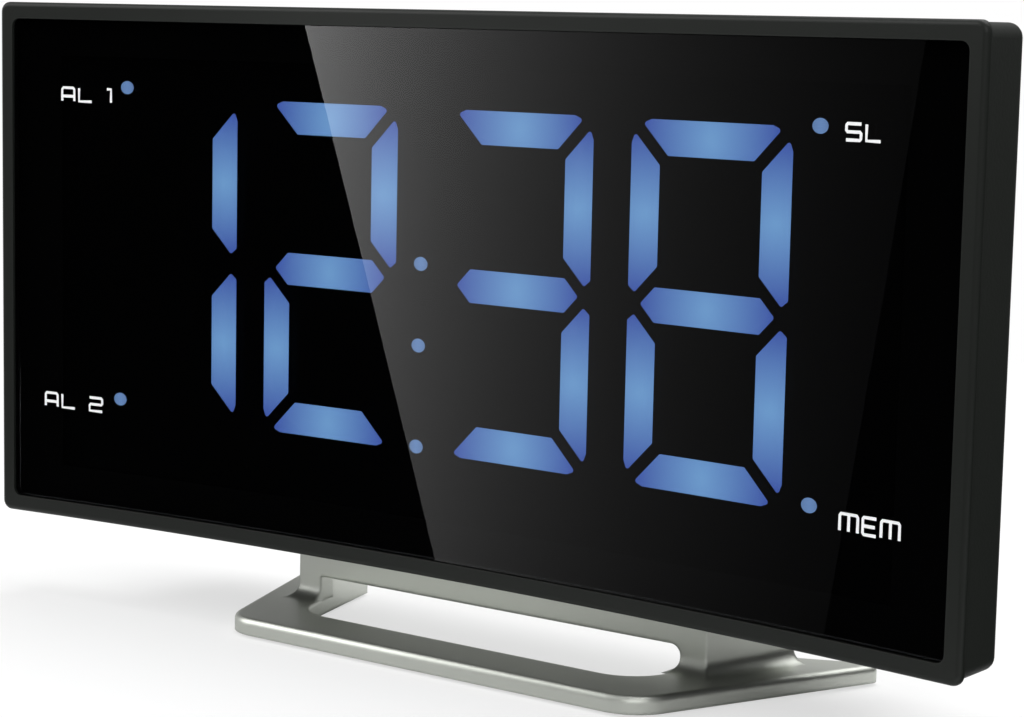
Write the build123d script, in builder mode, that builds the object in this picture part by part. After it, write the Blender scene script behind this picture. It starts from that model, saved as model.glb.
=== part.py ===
from build123d import *
from math import sqrt
import os

# A projection alarm clock: a curved black screen in a slim bezel, a deep rear casing with the buttons on
# its top deck and a swivelling projector at one end, all carried by a silver stand.
# Millimetres. X runs across the face, Y from the face to the back, Z up. The origin is on the table,
# below the middle of the clock's plan.

# Overall sizes
casing_width = 159.0
casing_height = 75.0
face_radius = 609.0
casing_lift = 11.7
foot_proud = 0.4

# Bezel, the frame round the screen
bezel_rim = 2.35
bezel_side = 1.0
bezel_corner = 1.4
bezel_round = 0.7
tongue_reach = 2.6
tongue_wall = 3.4

# Screen window
window_sink = 0.3
window_thickness = 1.5
window_corner = 1.2
glue_gap = 0.05

# Rear casing
casing_depth = 9.8
casing_step = 0.25
casing_corner = 1.7
casing_round = 1.6
wall = 1.8
lip_wall = 1.2
fit_gap = 0.1

# Hump on the back of the casing
hump_width = 128.0
hump_depth = 30.0
hump_drop = 5.0
hump_corner = 8.0
hump_round = 3.0
hump_start = 5.0

# Stand
stand_height = 16.0
base_front = 4.2
base_back = 33.0
base_front_width = 69.0
base_back_width = 98.6
base_thickness = 2.3
base_front_corner = 6.5
base_back_corner = 1.3
base_tip = 1.0
base_edge_round = 0.8
notch_width = 68.4
notch_start = 27.0
slot_front = 4.1
slot_side_rim = 5.9
slot_front_corner = 7.0
side_flare = 0.3
neck_front = 11.6
neck_back = 26.0
neck_spread = 0.8
neck_leg = 4.0
neck_wall = 2.8
neck_top = 2.5
neck_flare = 2.2
window_gap = 3.5
window_gap_corner = 1.5
foot_diameter = 5.5
foot_thickness = 1.0
front_foot_inset = 9.5
back_foot_depth = 23.0

# Display
digit_height = 45.7
digit_widths = {"one": 23.4, "two": 22.9, "three": 23.6, "eight": 24.1}
segment_width = 4.4
corner_gap = 1.2
waist_gap = 0.35
middle_gap = 1.9
segment_tip = 0.35
tip_run = 1.8
tip_trim = 0.5
waist_trim = 1.0
digit_rise = 1.85
digit_centres = {"one": -48.95, "two": -20.75, "three": 10.9, "eight": 40.7}
dot_width = 2.3
dot_height = 1.85
dot_places = [(-57.2, 25.7), (-58.4, -19.2), (56.5, 24.9), (56.8, -19.9), (-5.1, 4.15), (-5.3, -6.75),
              (-5.4, -20.35)]
reflector_side = 9.5
reflector_rim = 6.5
reflector_front = 2.0
reflector_thickness = 4.0
diffuser_thickness = 0.8
board_thickness = 0.8
chip_size = 2.2
chip_height = 0.9

# Screws and bosses
case_screw_inset = 5.05
case_screw_rim = 5.5
case_screw_diameter = 2.6
case_boss_diameter = 6.0
case_boss_reach = 4.2
case_head_diameter = 4.6
case_head_height = 1.7
case_head_sink = 0.5
stand_screw_diameter = 3.0
stand_screw_length = 8.0
stand_screw_inset = 4.9
stand_screw_inner = 6.0
stand_head_diameter = 5.4
stand_head_height = 2.0
stand_boss_diameter = 6.6
stand_boss_height = 8.0
screw_gap = 0.15
case_pilot = 1.9
recess_reach = 0.62
recess_width = 0.2

# Main board
main_board_width = 74.0
main_board_height = 30.0
main_board_centre = (-21.0, 35.0)
main_board_depth = 12.0
circuit_board = 1.6
board_screw_inset = 3.0
board_screw_diameter = 2.3
board_head_diameter = 4.2
board_head_height = 1.5
board_screw_length = 7.0
board_post_diameter = 5.0
board_corner = 1.0
block_corner = 0.5
tuner_place = (-40.0, 43.0)
tuner_size = (14.0, 11.0, 4.0)
chip_place = (4.0, 39.0)
chip_block_size = (12.0, 12.0, 1.6)
capacitor_places = [(6.0, 28.0), (-1.0, 28.0)]
capacitor_diameter = 6.3
capacitor_height = 8.0

# Button deck
button_length = 9.0
button_width = 6.0
button_corner = 0.8
button_round = 0.5
snooze_width = 22.0
button_pitch = 7.2
button_start = 8.3
group_gap = 1.8
button_row_depth = 17.5
button_proud = 1.3
button_gap = 0.15
button_flange = 0.5
button_flange_height = 1.0
button_travel = 0.8
button_post_diameter = 2.4
button_post_length = 2.0
stem_diameter = 3.4
stem_height = 0.7
switch_size = 6.0
switch_height = 3.1
switch_corner = 0.4
button_board_thickness = 1.2
deck_post_diameter = 4.6
deck_post_insets = (7.3, 5.1)
deck_post_depth = 25.4

# Loudspeaker
speaker_centre = (42.0, 44.0)
speaker_diameter = 36.0
speaker_flange = 1.4
speaker_depth = 14.0
magnet_diameter = 20.0
magnet_depth = 4.5
speaker_sheet = 1.0
cone_sheet = 0.5
cone_drop = 5.0
cap_diameter = 9.0
cap_rise = 3.3
rim_shelf = 0.6
grille_diameter = 31.0
grille_flange_diameter = 37.0
grille_flange = 1.0
grille_slot = 1.5
grille_pitch = 3.2

# Back-up cell
cell_diameter = 20.0
cell_thickness = 3.2
cell_centre = (-16.0, 37.0)
cell_bevel = 0.3
contact_sheet = 0.4
cell_clearance = 0.3
holder_wall = 1.4
door_width = 27.0
door_height = 25.0
door_corner = 2.0
door_lip = 1.2
door_rib = 2.4
finger_notch = 4.5

# Inlets and the dimmer switch
inlet_centre = (-42.0, 30.0)
inlet_width = 9.0
inlet_height = 11.0
inlet_nose = 7.6
inlet_socket = 5.5
inlet_pin = 2.0
socket_depth = 9.0
gland_centre = (-51.5, 38.0)
gland_diameter = 5.0
gland_bore = 1.8
gland_lip = 0.9
dimmer_centre = (4.0, 62.0)
dimmer_slot_width = 8.0
dimmer_slot_height = 3.2
dimmer_case_width = 12.0
dimmer_case_height = 5.6
dimmer_case_depth = 5.0
dimmer_knob_reach = 2.0
dimmer_proud = 0.8
dimmer_bevel = 0.3
dimmer_travel = 2.0

# Projector
bay_left = -60.0
bay_right = -32.0
bay_clearance = 3.0
drum_depth = 20.0
drum_drop = 16.1
drum_diameter = 20.0
drum_wall = 1.5
drum_gap = 0.4
drum_edge = 0.8
cap_thickness = 1.6
cap_spigot = 1.5
pivot_diameter = 5.0
pivot_length = 2.0
pivot_hole = 1.9
hollow_pivot_diameter = 7.0
hollow_pivot_bore = 4.0
pivot_gap = 0.05
clip_thickness = 0.8
clip_bite = 0.5
clip_reach = 1.5
snout_diameter = 12.4
snout_reach = 13.0
film_reach = 5.5
film_shelf = 1.0
film_thickness = 0.9
lens_bore = 9.7
slide_gap = 0.05
ring_diameter = 16.0
ring_height = 5.2
ring_ribs = 24
ring_rib = 0.5
ring_rib_width = 0.75
ring_cover = 0.2
lens_diameter = 7.6
lens_thickness = 2.6
lens_rim = 1.0
lens_ledge = 0.7
crown_diameter = 10.6
crown_height = 1.7
key_width = 1.2
key_height = 0.8
focus_travel = 0.5
lamp_diameter = 5.0
lamp_rim = 0.8
lamp_board_drop = 6.2
lamp_board_length = 14.0
lamp_board_thickness = 1.0
film_width = 6.4
film_height = 4.5

# Places worked out from the sizes above
half_width = casing_width / 2
half_height = casing_height / 2
bow = face_radius - sqrt(face_radius**2 - half_width**2)
face_y = (bow - base_back) / 2
casing_bottom = foot_proud + casing_lift
casing_top = casing_bottom + casing_height
face_centre = casing_bottom + half_height
casing_half_width = half_width - casing_step
casing_half_height = half_height - casing_step
case_screw_spread = casing_width - 2 * case_screw_inset
case_screw_rise = casing_height - 2 * case_screw_rim
reflector_width = casing_width - 2 * reflector_side
reflector_height = casing_height - 2 * reflector_rim
window_half_width = half_width - bezel_rim
window_half_height = half_height - bezel_rim
window_back = window_sink + window_thickness
ledge_depth = window_back + glue_gap
lip_inner = casing_half_width - lip_wall
tongue_outer = lip_inner - fit_gap
tongue_height = casing_half_height - lip_wall - fit_gap
tongue_back = bezel_side + tongue_reach
base_bottom = foot_proud
base_top = base_bottom + base_thickness
hump_top = casing_top - hump_drop
hump_inside = hump_depth - wall
deck_inside = hump_top - wall
reflector_back = reflector_front + reflector_thickness
display_board_front = reflector_back + glue_gap
digit_centre = face_centre + digit_rise
drum_height = hump_top - drum_drop
bay_floor = drum_height - drum_diameter / 2 - bay_clearance
drum_y = face_y + drum_depth
drum_x = (bay_left + bay_right) / 2
drum_length = bay_right - bay_left - 2 * drum_gap
snout_top = drum_height + snout_reach
first_button = bay_right + button_start
last_left_button = first_button + 3 * button_pitch
snooze_centre = last_left_button + button_width / 2 + group_gap + snooze_width / 2
first_right_button = snooze_centre + snooze_width / 2 + group_gap + button_width / 2
last_button = first_right_button + 3 * button_pitch
deck_post_places = [first_button + deck_post_insets[0], last_button - deck_post_insets[1]]
slot_front_width = base_front_width - 2 * slot_side_rim
neck_width = base_front_width + neck_spread
neck_inside = neck_width - 2 * neck_leg
outer_screw = neck_inside / 2 - stand_screw_inset
stand_screw_places = [-outer_screw, -stand_screw_inner, stand_screw_inner, outer_screw]
front_foot_spread = base_front_width - 2 * front_foot_inset

os.makedirs("parts", exist_ok=True)


def save(piece, name):
    """Name a finished piece and write it to its own file."""
    piece.label = name
    export_step(piece, f"parts/{name}.step")


def surface_y(depth, x):
    """Y of the curved surface that lies a depth behind the face, at a distance x from the middle."""
    return face_y - face_radius + sqrt((face_radius + depth) ** 2 - x**2)


def curved_block(front, back, block_half_width, block_half_height, corner):
    """A plate that follows the face, with rounded corners in the front view."""
    with BuildPart() as block:
        with BuildSketch(Plane.XY.offset(face_centre - block_half_height)):
            with BuildLine():
                edges = []
                for depth in (front, back):
                    ends = [(side * block_half_width, surface_y(depth, block_half_width)) for side in (-1, 1)]
                    edges.append(ThreePointArc(ends[0], (0, surface_y(depth, 0)), ends[1]))
                Line(edges[0] @ 0, edges[1] @ 0)
                Line(edges[0] @ 1, edges[1] @ 1)
            make_face()
        extrude(amount=2 * block_half_height)
        with BuildSketch(Plane.XZ):
            with Locations((0, face_centre)):
                RectangleRounded(2 * block_half_width, 2 * block_half_height, corner)
        extrude(amount=casing_width, both=True, mode=Mode.INTERSECT)
    return block.part


def face_plane(depth):
    """A plane parallel to the face's middle, seen from the front, a depth behind it."""
    return Plane.XZ.offset(-(face_y + depth))


def level(height):
    """A level plane at a height above the table, centred on the face's middle."""
    return Plane((0, face_y, height))


def hump_block(inset, front, back):
    """The rounded box of the hump, drawn in from its outside by a wall."""
    with BuildPart() as block:
        with BuildSketch(face_plane(front)):
            with Locations((0, (stand_height + hump_top) / 2)):
                RectangleRounded(hump_width - 2 * inset, hump_top - stand_height - 2 * inset,
                                 hump_corner - inset)
        extrude(amount=-(back - front))
        fillet(block.faces().sort_by(Axis.Y)[-1].edges(), hump_round - inset / 2)
    return block.part


def round_prisms(plane, places, diameter, length):
    """Round pegs that start on a plane at each place and run backwards along its normal."""
    with BuildPart() as pegs:
        with BuildSketch(plane):
            with Locations(places):
                Circle(diameter / 2)
        extrude(amount=-length)
    return pegs.part


def screws(plane, places, shank, shank_length, head, head_height):
    """A row of screws, each with its shank before the plane and its head behind it, and a cross recess."""
    heads = round_prisms(plane, places, head, head_height)
    shanks = round_prisms(plane, places, shank, -shank_length)
    with BuildPart() as group:
        add(heads)
        add(shanks)
        with BuildSketch(plane.offset(-head_height)):
            with Locations(places):
                Rectangle(head * recess_reach, head * recess_width)
                Rectangle(head * recess_width, head * recess_reach)
        extrude(amount=head_height * recess_reach, mode=Mode.SUBTRACT)
    return group.part


# Bezel: the rim, the tongue that enters the rear casing, the recess of the window and four screw posts
rim_block = curved_block(0, bezel_side, half_width, half_height, bezel_corner)
tongue_block = curved_block(bezel_side / 2, tongue_back, tongue_outer, tongue_height,
                            casing_corner - lip_wall)
window_recess = curved_block(-bow, ledge_depth, window_half_width, window_half_height, window_corner)
ledge_opening = curved_block(-bow, hump_depth, tongue_outer - tongue_wall, tongue_height - tongue_wall,
                             window_corner)
case_screw_places = [(x * case_screw_spread / 2, face_centre + z * case_screw_rise / 2)
                     for x in (-1, 1) for z in (-1, 1)]
case_post_back = surface_y(case_boss_reach, case_screw_spread / 2) - face_y
ledge_at_screw = surface_y(ledge_depth, case_screw_spread / 2) - face_y
case_posts = round_prisms(face_plane(ledge_at_screw), case_screw_places, case_boss_diameter,
                          case_post_back - ledge_at_screw)
case_pilots = round_prisms(face_plane(case_post_back - case_pilot), case_screw_places,
                           case_screw_diameter + 2 * screw_gap, case_pilot)

with BuildPart() as front_bezel:
    add(rim_block)
    broad_faces = front_bezel.faces().sort_by(SortBy.AREA)[-2:]
    fillet(broad_faces.sort_by(Axis.Y)[0].edges(), bezel_round)
    add(tongue_block)
    add(case_posts)
    add(case_pilots, mode=Mode.SUBTRACT)
    add(window_recess, mode=Mode.SUBTRACT)
    add(ledge_opening, mode=Mode.SUBTRACT)
save(front_bezel.part, "front_bezel")

# Screen window: a smoked plate that lies in the bezel's recess
window_block = curved_block(window_sink, window_back, window_half_width - fit_gap,
                            window_half_height - fit_gap, window_corner - fit_gap)
save(window_block, "display_window")


# Display: light wells, their diffusers, the chips behind them and the board
def segment_corners(digit, name):
    """Corners of one segment, measured from the middle of its digit."""
    half, rise = digit_widths[digit] / 2, digit_height / 2
    if name == "middle":
        tip, shoulder = half - middle_gap, half - middle_gap - segment_width / 2
        return [(-tip, 0), (-shoulder, segment_width / 2), (shoulder, segment_width / 2), (tip, 0),
                (shoulder, -segment_width / 2), (-shoulder, -segment_width / 2)]
    if name in ("top", "bottom"):
        up = 1 if name == "top" else -1
        tip, inner = half - corner_gap, half - corner_gap - segment_width
        return [(-tip + tip_trim, up * (rise - tip_trim)), (-tip + tip_run, up * rise),
                (tip - tip_run, up * rise), (tip - tip_trim, up * (rise - tip_trim)),
                (inner, up * (rise - segment_width)), (-inner, up * (rise - segment_width))]
    across = 1 if name.endswith("right") else -1
    up = 1 if name.startswith("upper") else -1
    low, high = waist_gap, rise - corner_gap
    return [(across * half, up * (high - tip_run)), (across * half, up * (low + tip_run)),
            (across * (half - waist_trim), up * (low + waist_trim)),
            (across * (half - segment_width), up * (low + segment_width)),
            (across * (half - segment_width), up * (high - segment_width)),
            (across * (half - tip_trim), up * (high - tip_trim))]


def segment_sketch(segments):
    """Outlines of the named segments of each digit, on the face's middle plane."""
    with BuildSketch(Plane.XZ) as outlines:
        for digit, names in segments:
            for name in names:
                with BuildLine():
                    corners = [(digit_centres[digit] + x, digit_centre + z)
                               for x, z in segment_corners(digit, name)]
                    Polyline(*corners, close=True)
                make_face()
        fillet(outlines.vertices(), segment_tip)
    return outlines.sketch


def segment_middles(segments):
    """Centre of each named segment, for its chip."""
    middles = []
    for digit, names in segments:
        for name in names:
            corners = segment_corners(digit, name)
            middles.append((digit_centres[digit] + sum(x for x, z in corners) / len(corners),
                            digit_centre + sum(z for x, z in corners) / len(corners)))
    return middles


def through_display(sketch, front, back):
    """Straight prisms of a sketch, ended by two surfaces that follow the face."""
    slab = curved_block(front, back, reflector_width / 2, reflector_height / 2, window_corner)
    with BuildPart() as pieces:
        extrude(sketch, amount=casing_width, both=True)
        add(slab, mode=Mode.INTERSECT)
    return pieces.part


lit = [("one", ["upper_right", "lower_right"]),
       ("two", ["top", "upper_right", "middle", "lower_left", "bottom"]),
       ("three", ["top", "upper_right", "middle", "lower_right", "bottom"]),
       ("eight", ["top", "upper_right", "middle", "lower_right", "bottom", "lower_left", "upper_left"])]
unlit = [("two", ["upper_left", "lower_right"]), ("three", ["upper_left", "lower_left"])]
lit_outlines = segment_sketch(lit)
unlit_outlines = segment_sketch(unlit)
with BuildSketch(Plane.XZ) as dots:
    with Locations([(x, face_centre + z) for x, z in dot_places]):
        Ellipse(dot_width / 2, dot_height / 2)
with BuildSketch(Plane.XZ) as chips:
    chip_places = segment_middles(lit) + segment_middles(unlit)
    chip_places += [(x, face_centre + z) for x, z in dot_places]
    with Locations(chip_places):
        Rectangle(chip_size, chip_size)
with BuildSketch(Plane.XZ) as dot_wells:
    with Locations([(x, face_centre + z) for x, z in dot_places]):
        Circle(dot_width / 2 + chip_size / 2)

reflector_block = curved_block(reflector_front, reflector_back, reflector_width / 2,
                               reflector_height / 2, window_corner)
chip_chamber = through_display(dot_wells.sketch, reflector_front + diffuser_thickness, reflector_back)
with BuildPart() as segment_reflector:
    add(reflector_block)
    extrude(lit_outlines, amount=casing_width, both=True, mode=Mode.SUBTRACT)
    extrude(unlit_outlines, amount=casing_width, both=True, mode=Mode.SUBTRACT)
    extrude(dots.sketch, amount=casing_width, both=True, mode=Mode.SUBTRACT)
    add(chip_chamber, mode=Mode.SUBTRACT)
save(segment_reflector.part, "segment_reflector")

diffuser_back = reflector_front + diffuser_thickness
save(through_display(lit_outlines, reflector_front, diffuser_back), "lit_segments")
save(through_display(unlit_outlines, reflector_front, diffuser_back), "unlit_segments")
save(through_display(dots.sketch, reflector_front, diffuser_back), "indicator_lights")
save(through_display(chips.sketch, display_board_front - chip_height, display_board_front), "light_chips")
display_board = curved_block(display_board_front, display_board_front + board_thickness,
                             reflector_width / 2, reflector_height / 2, window_corner)
save(display_board, "display_board")

# Rear casing: the slim outer shell, the hump behind it, the projector bay, bosses and openings
outer_slab = curved_block(bezel_side, casing_depth, casing_half_width, casing_half_height, casing_corner)
inner_slab = curved_block(0, casing_depth - wall, casing_half_width - wall, casing_half_height - wall,
                          casing_corner - lip_wall)
lip_recess = curved_block(0, tongue_back + fit_gap, lip_inner, casing_half_height - lip_wall,
                          casing_corner - lip_wall)


def bay_block(left, right, floor):
    """The space of the projector bay, open at its top and back."""
    with BuildPart() as bay:
        with BuildSketch(face_plane(0)):
            with Locations(((left + right) / 2, floor)):
                Rectangle(right - left, casing_height, align=(Align.CENTER, Align.MIN))
        extrude(amount=-2 * hump_depth)
    return bay.part


bay = bay_block(bay_left, bay_right, bay_floor)
bay_guard = bay_block(-hump_width, bay_right + wall, bay_floor - wall)
hump = hump_block(0, hump_start, hump_depth) - bay
hump_hollow = hump_block(wall, hump_start - wall, hump_inside) - bay_guard
main_board_back = main_board_depth + circuit_board
post_places = [(main_board_centre[0] + x * (main_board_width / 2 - board_screw_inset),
                main_board_centre[1] + z * (main_board_height / 2 - board_screw_inset))
               for x in (-1, 1) for z in (-1, 1)]
left_buttons = ["power_button", "alarm_one_button", "alarm_two_button", "memory_button"]
right_buttons = ["tuning_down_button", "tuning_up_button", "volume_down_button", "volume_up_button"]
buttons = [("snooze_bar", snooze_centre, snooze_width)]
buttons += [(name, first_button + i * button_pitch, button_width) for i, name in enumerate(left_buttons)]
buttons += [(name, first_right_button + i * button_pitch, button_width)
            for i, name in enumerate(right_buttons)]
flange_top = deck_inside - fit_gap
flange_bottom = flange_top - button_flange_height
post_bottom = flange_bottom - button_post_length
switch_top = post_bottom - button_travel - fit_gap - stem_height
button_board_top = switch_top - switch_height
button_board_bottom = button_board_top - button_board_thickness
case_back = surface_y(casing_depth, case_screw_spread / 2) - face_y
case_head_back = case_back - case_head_sink
case_head_front = case_head_back - case_head_height
case_boss_front = case_post_back + fit_gap
case_bosses = round_prisms(face_plane(case_boss_front), case_screw_places, case_boss_diameter,
                           case_head_front + case_head_height / 2 - case_boss_front)
case_bores = round_prisms(face_plane(case_post_back), case_screw_places,
                          case_screw_diameter + 2 * screw_gap, casing_depth)
case_head_bores = round_prisms(face_plane(case_head_front), case_screw_places,
                               case_head_diameter + 2 * screw_gap, casing_depth)
neck_screw_depth = (neck_front + neck_back) / 2
pivot_plane = Plane((bay_left, drum_y, drum_height), x_dir=(0, 1, 0), z_dir=(-1, 0, 0))
hollow_pivot_plane = Plane((bay_right, drum_y, drum_height), x_dir=(0, 1, 0), z_dir=(1, 0, 0))

with BuildPart() as rear_casing:
    add(outer_slab)
    broad_faces = rear_casing.faces().sort_by(SortBy.AREA)[-2:]
    fillet(broad_faces.sort_by(Axis.Y)[-1].edges(), casing_round)
    add(hump)
    add(inner_slab, mode=Mode.SUBTRACT)
    add(lip_recess, mode=Mode.SUBTRACT)
    add(hump_hollow, mode=Mode.SUBTRACT)
    # Bosses of the case screws, from the tongue to the back wall
    add(case_bosses)
    add(case_bores, mode=Mode.SUBTRACT)
    add(case_head_bores, mode=Mode.SUBTRACT)
    # Posts of the main board, from the back wall
    with BuildSketch(face_plane(main_board_back)):
        with Locations(post_places):
            Circle(board_post_diameter / 2)
            Circle(board_screw_diameter / 2 + screw_gap, mode=Mode.SUBTRACT)
    extrude(amount=-(hump_inside - main_board_back))
    # Posts of the button board, from the deck
    with BuildSketch(Plane.XY.offset(button_board_top)):
        with Locations([(x, face_y + deck_post_depth) for x in deck_post_places]):
            Circle(deck_post_diameter / 2)
            Circle(board_screw_diameter / 2 + screw_gap, mode=Mode.SUBTRACT)
    extrude(amount=deck_inside - button_board_top)
    # Bosses of the stand screws, open below
    with BuildSketch(Plane.XY.offset(stand_height + wall / 2)):
        with Locations([(x, face_y + neck_screw_depth) for x in stand_screw_places]):
            Circle(stand_boss_diameter / 2)
    extrude(amount=stand_boss_height - wall / 2)
    with BuildSketch(Plane.XY.offset(stand_height)):
        with Locations([(x, face_y + neck_screw_depth) for x in stand_screw_places]):
            Circle(stand_screw_diameter / 2 + screw_gap)
    extrude(amount=stand_boss_height - wall, mode=Mode.SUBTRACT)
    # Openings of the buttons in the deck
    with BuildSketch(Plane.XY.offset(deck_inside - wall)):
        for name, x, width in buttons:
            with Locations((x, face_y + button_row_depth)):
                RectangleRounded(width + 2 * button_gap, button_length + 2 * button_gap, button_corner)
    extrude(amount=3 * wall, mode=Mode.SUBTRACT)
    # Openings of the back wall
    with BuildSketch(face_plane(hump_inside - wall)):
        with Locations(speaker_centre):
            Circle(grille_diameter / 2 + fit_gap)
        with Locations(cell_centre):
            RectangleRounded(door_width + 2 * button_gap, door_height + 2 * button_gap, door_corner)
        with Locations(inlet_centre):
            Circle(inlet_nose / 2 + fit_gap)
        with Locations(gland_centre):
            Circle(gland_diameter / 2 + slide_gap)
        with Locations(dimmer_centre):
            Rectangle(dimmer_slot_width, dimmer_slot_height)
    extrude(amount=-3 * wall, mode=Mode.SUBTRACT)
    # Seats of the projector's two pivots
    with BuildSketch(pivot_plane):
        Circle(pivot_diameter / 2 + pivot_gap)
    extrude(amount=pivot_hole, mode=Mode.SUBTRACT)
    with BuildSketch(hollow_pivot_plane):
        Circle(hollow_pivot_diameter / 2 + pivot_gap)
    extrude(amount=2 * wall, mode=Mode.SUBTRACT)
save(rear_casing.part, "rear_casing")


# Case screws, from the back into the bezel's posts
case_screw_length = case_head_front - case_post_back + case_pilot - fit_gap
save(screws(face_plane(case_head_front), case_screw_places, case_screw_diameter, case_screw_length,
            case_head_diameter, case_head_height), "case_screws")

# Main board, its parts and screws
with BuildPart() as main_board:
    with BuildSketch(face_plane(main_board_depth)):
        with Locations(main_board_centre):
            RectangleRounded(main_board_width, main_board_height, board_corner)
        with Locations(post_places):
            Circle(board_screw_diameter / 2 + screw_gap, mode=Mode.SUBTRACT)
    extrude(amount=-circuit_board)
save(main_board.part, "main_board")

with BuildPart() as board_parts:
    for place, width, height, rise in ((tuner_place, *tuner_size), (chip_place, *chip_block_size)):
        with BuildSketch(face_plane(main_board_back)):
            with Locations(place):
                RectangleRounded(width, height, block_corner)
        extrude(amount=-rise)
    with BuildSketch(face_plane(main_board_back)):
        with Locations(capacitor_places):
            Circle(capacitor_diameter / 2)
    extrude(amount=-capacitor_height)
save(board_parts.part, "board_components")
save(screws(face_plane(main_board_depth).rotated((180, 0, 0)), [(x, -z) for x, z in post_places],
            board_screw_diameter, board_screw_length, board_head_diameter, board_head_height),
     "board_screws")

# Button board, its switches and screws
row_y = face_y + button_row_depth
button_board_left = first_button - button_pitch / 2
button_board_right = last_button + button_pitch / 2
button_board_front = row_y - button_length / 2 - button_flange
button_board_back = face_y + deck_post_depth + deck_post_diameter / 2
deck_posts = [(x, face_y + deck_post_depth) for x in deck_post_places]
with BuildPart() as button_board:
    with BuildSketch(Plane.XY.offset(button_board_bottom)):
        with Locations(((button_board_left + button_board_right) / 2,
                        (button_board_front + button_board_back) / 2)):
            RectangleRounded(button_board_right - button_board_left,
                             button_board_back - button_board_front, board_corner)
        with Locations(deck_posts):
            Circle(board_screw_diameter / 2 + screw_gap, mode=Mode.SUBTRACT)
    extrude(amount=button_board_thickness)
save(button_board.part, "button_board")

button_places = [(x, row_y) for name, x, width in buttons]
with BuildPart() as button_switches:
    with BuildSketch(Plane.XY.offset(button_board_top)):
        with Locations(button_places):
            RectangleRounded(switch_size, switch_size, switch_corner)
    extrude(amount=switch_height)
    with BuildSketch(Plane.XY.offset(switch_top)):
        with Locations(button_places):
            Circle(stem_diameter / 2)
    extrude(amount=stem_height)
save(button_switches.part, "button_switches")
save(screws(Plane.XY.offset(button_board_bottom), deck_posts, board_screw_diameter,
            board_screw_length, board_head_diameter, board_head_height), "button_board_screws")

# Buttons: a cap in the deck, a flange that keeps it in, and a post over the switch
for name, x, width in buttons:
    with BuildPart() as button:
        with BuildSketch(Plane.XY.offset(flange_bottom)):
            with Locations((x, row_y)):
                Rectangle(width + 2 * button_flange, button_length + 2 * button_flange)
        extrude(amount=button_flange_height)
        with BuildSketch(Plane.XY.offset(flange_top)):
            with Locations((x, row_y)):
                RectangleRounded(width, button_length, button_corner)
        extrude(amount=hump_top + button_proud - flange_top)
        fillet(button.faces().sort_by(Axis.Z)[-1].edges(), button_round)
        with BuildSketch(Plane.XY.offset(flange_bottom)):
            with Locations((x, row_y)):
                Circle(button_post_diameter / 2)
        extrude(amount=-button_post_length)
    save(button.part, name)


def axis_plane(centre):
    """A level plane through the middle of a round piece on the back wall, for its half section."""
    return Plane((centre[0], face_y, centre[1]))


def turned(centre, section):
    """A piece turned about an axis that runs from front to back, from its (radius, depth) corners."""
    plane = axis_plane(centre)
    with BuildPart() as piece:
        with BuildSketch(plane):
            with BuildLine():
                Polyline(*section, close=True)
            make_face()
        revolve(axis=Axis(plane.origin, (0, 1, 0)))
    return piece.part


# Loudspeaker: grille in the back wall, basket, cone and magnet
grille_front = hump_inside - grille_flange
basket_back = grille_front - glue_gap
speaker_front = hump_inside - speaker_depth
flange_front = basket_back - speaker_flange
speaker_radius = speaker_diameter / 2
magnet_radius = magnet_diameter / 2
with BuildPart() as speaker_grille:
    with BuildSketch(face_plane(grille_front)):
        with Locations(speaker_centre):
            Circle(grille_flange_diameter / 2)
    extrude(amount=-grille_flange + glue_gap)
    with BuildSketch(face_plane(grille_front)):
        with Locations(speaker_centre):
            Circle(grille_diameter / 2)
    extrude(amount=-(hump_depth - grille_front))
    slot_rows = int(grille_diameter / 2 / grille_pitch)
    slot_reach = grille_diameter / 2 - grille_slot
    with BuildSketch(face_plane(grille_front)):
        for row in range(-slot_rows, slot_rows + 1):
            half_slot = sqrt(slot_reach**2 - (row * grille_pitch) ** 2)
            if half_slot > 2 * grille_slot:
                with Locations((speaker_centre[0], speaker_centre[1] + row * grille_pitch)):
                    SlotOverall(2 * half_slot, grille_slot)
    extrude(amount=-2 * wall, mode=Mode.SUBTRACT)
save(speaker_grille.part, "speaker_grille")
seat_radius = speaker_radius - 3 * speaker_sheet
shelf_radius = seat_radius - speaker_sheet
shelf_depth = basket_back - rim_shelf
basket_section = [(0, speaker_front), (magnet_radius + speaker_sheet, speaker_front),
                  (seat_radius + speaker_sheet, flange_front), (speaker_radius, flange_front),
                  (speaker_radius, basket_back), (seat_radius, basket_back), (seat_radius, shelf_depth),
                  (shelf_radius, shelf_depth), (magnet_radius, speaker_front + speaker_sheet),
                  (0, speaker_front + speaker_sheet)]
save(turned(speaker_centre, basket_section), "speaker_basket")
cone_rim = seat_radius - fit_gap
cone_edge = cone_rim - 2 * speaker_sheet
cone_root = cap_diameter / 2
cone_back = shelf_depth + cone_sheet + glue_gap
cone_back_line = [(cone_rim, cone_back), (cone_edge, cone_back), (cone_root, cone_back - cone_drop),
                  (0, cone_back - cone_drop + cap_rise)]
cone_front_line = [(radius, depth - cone_sheet) for radius, depth in reversed(cone_back_line)]
save(turned(speaker_centre, cone_back_line + cone_front_line), "speaker_cone")
magnet = round_prisms(face_plane(speaker_front - magnet_depth), [speaker_centre], magnet_diameter,
                      magnet_depth)
save(magnet, "speaker_magnet")

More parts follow.
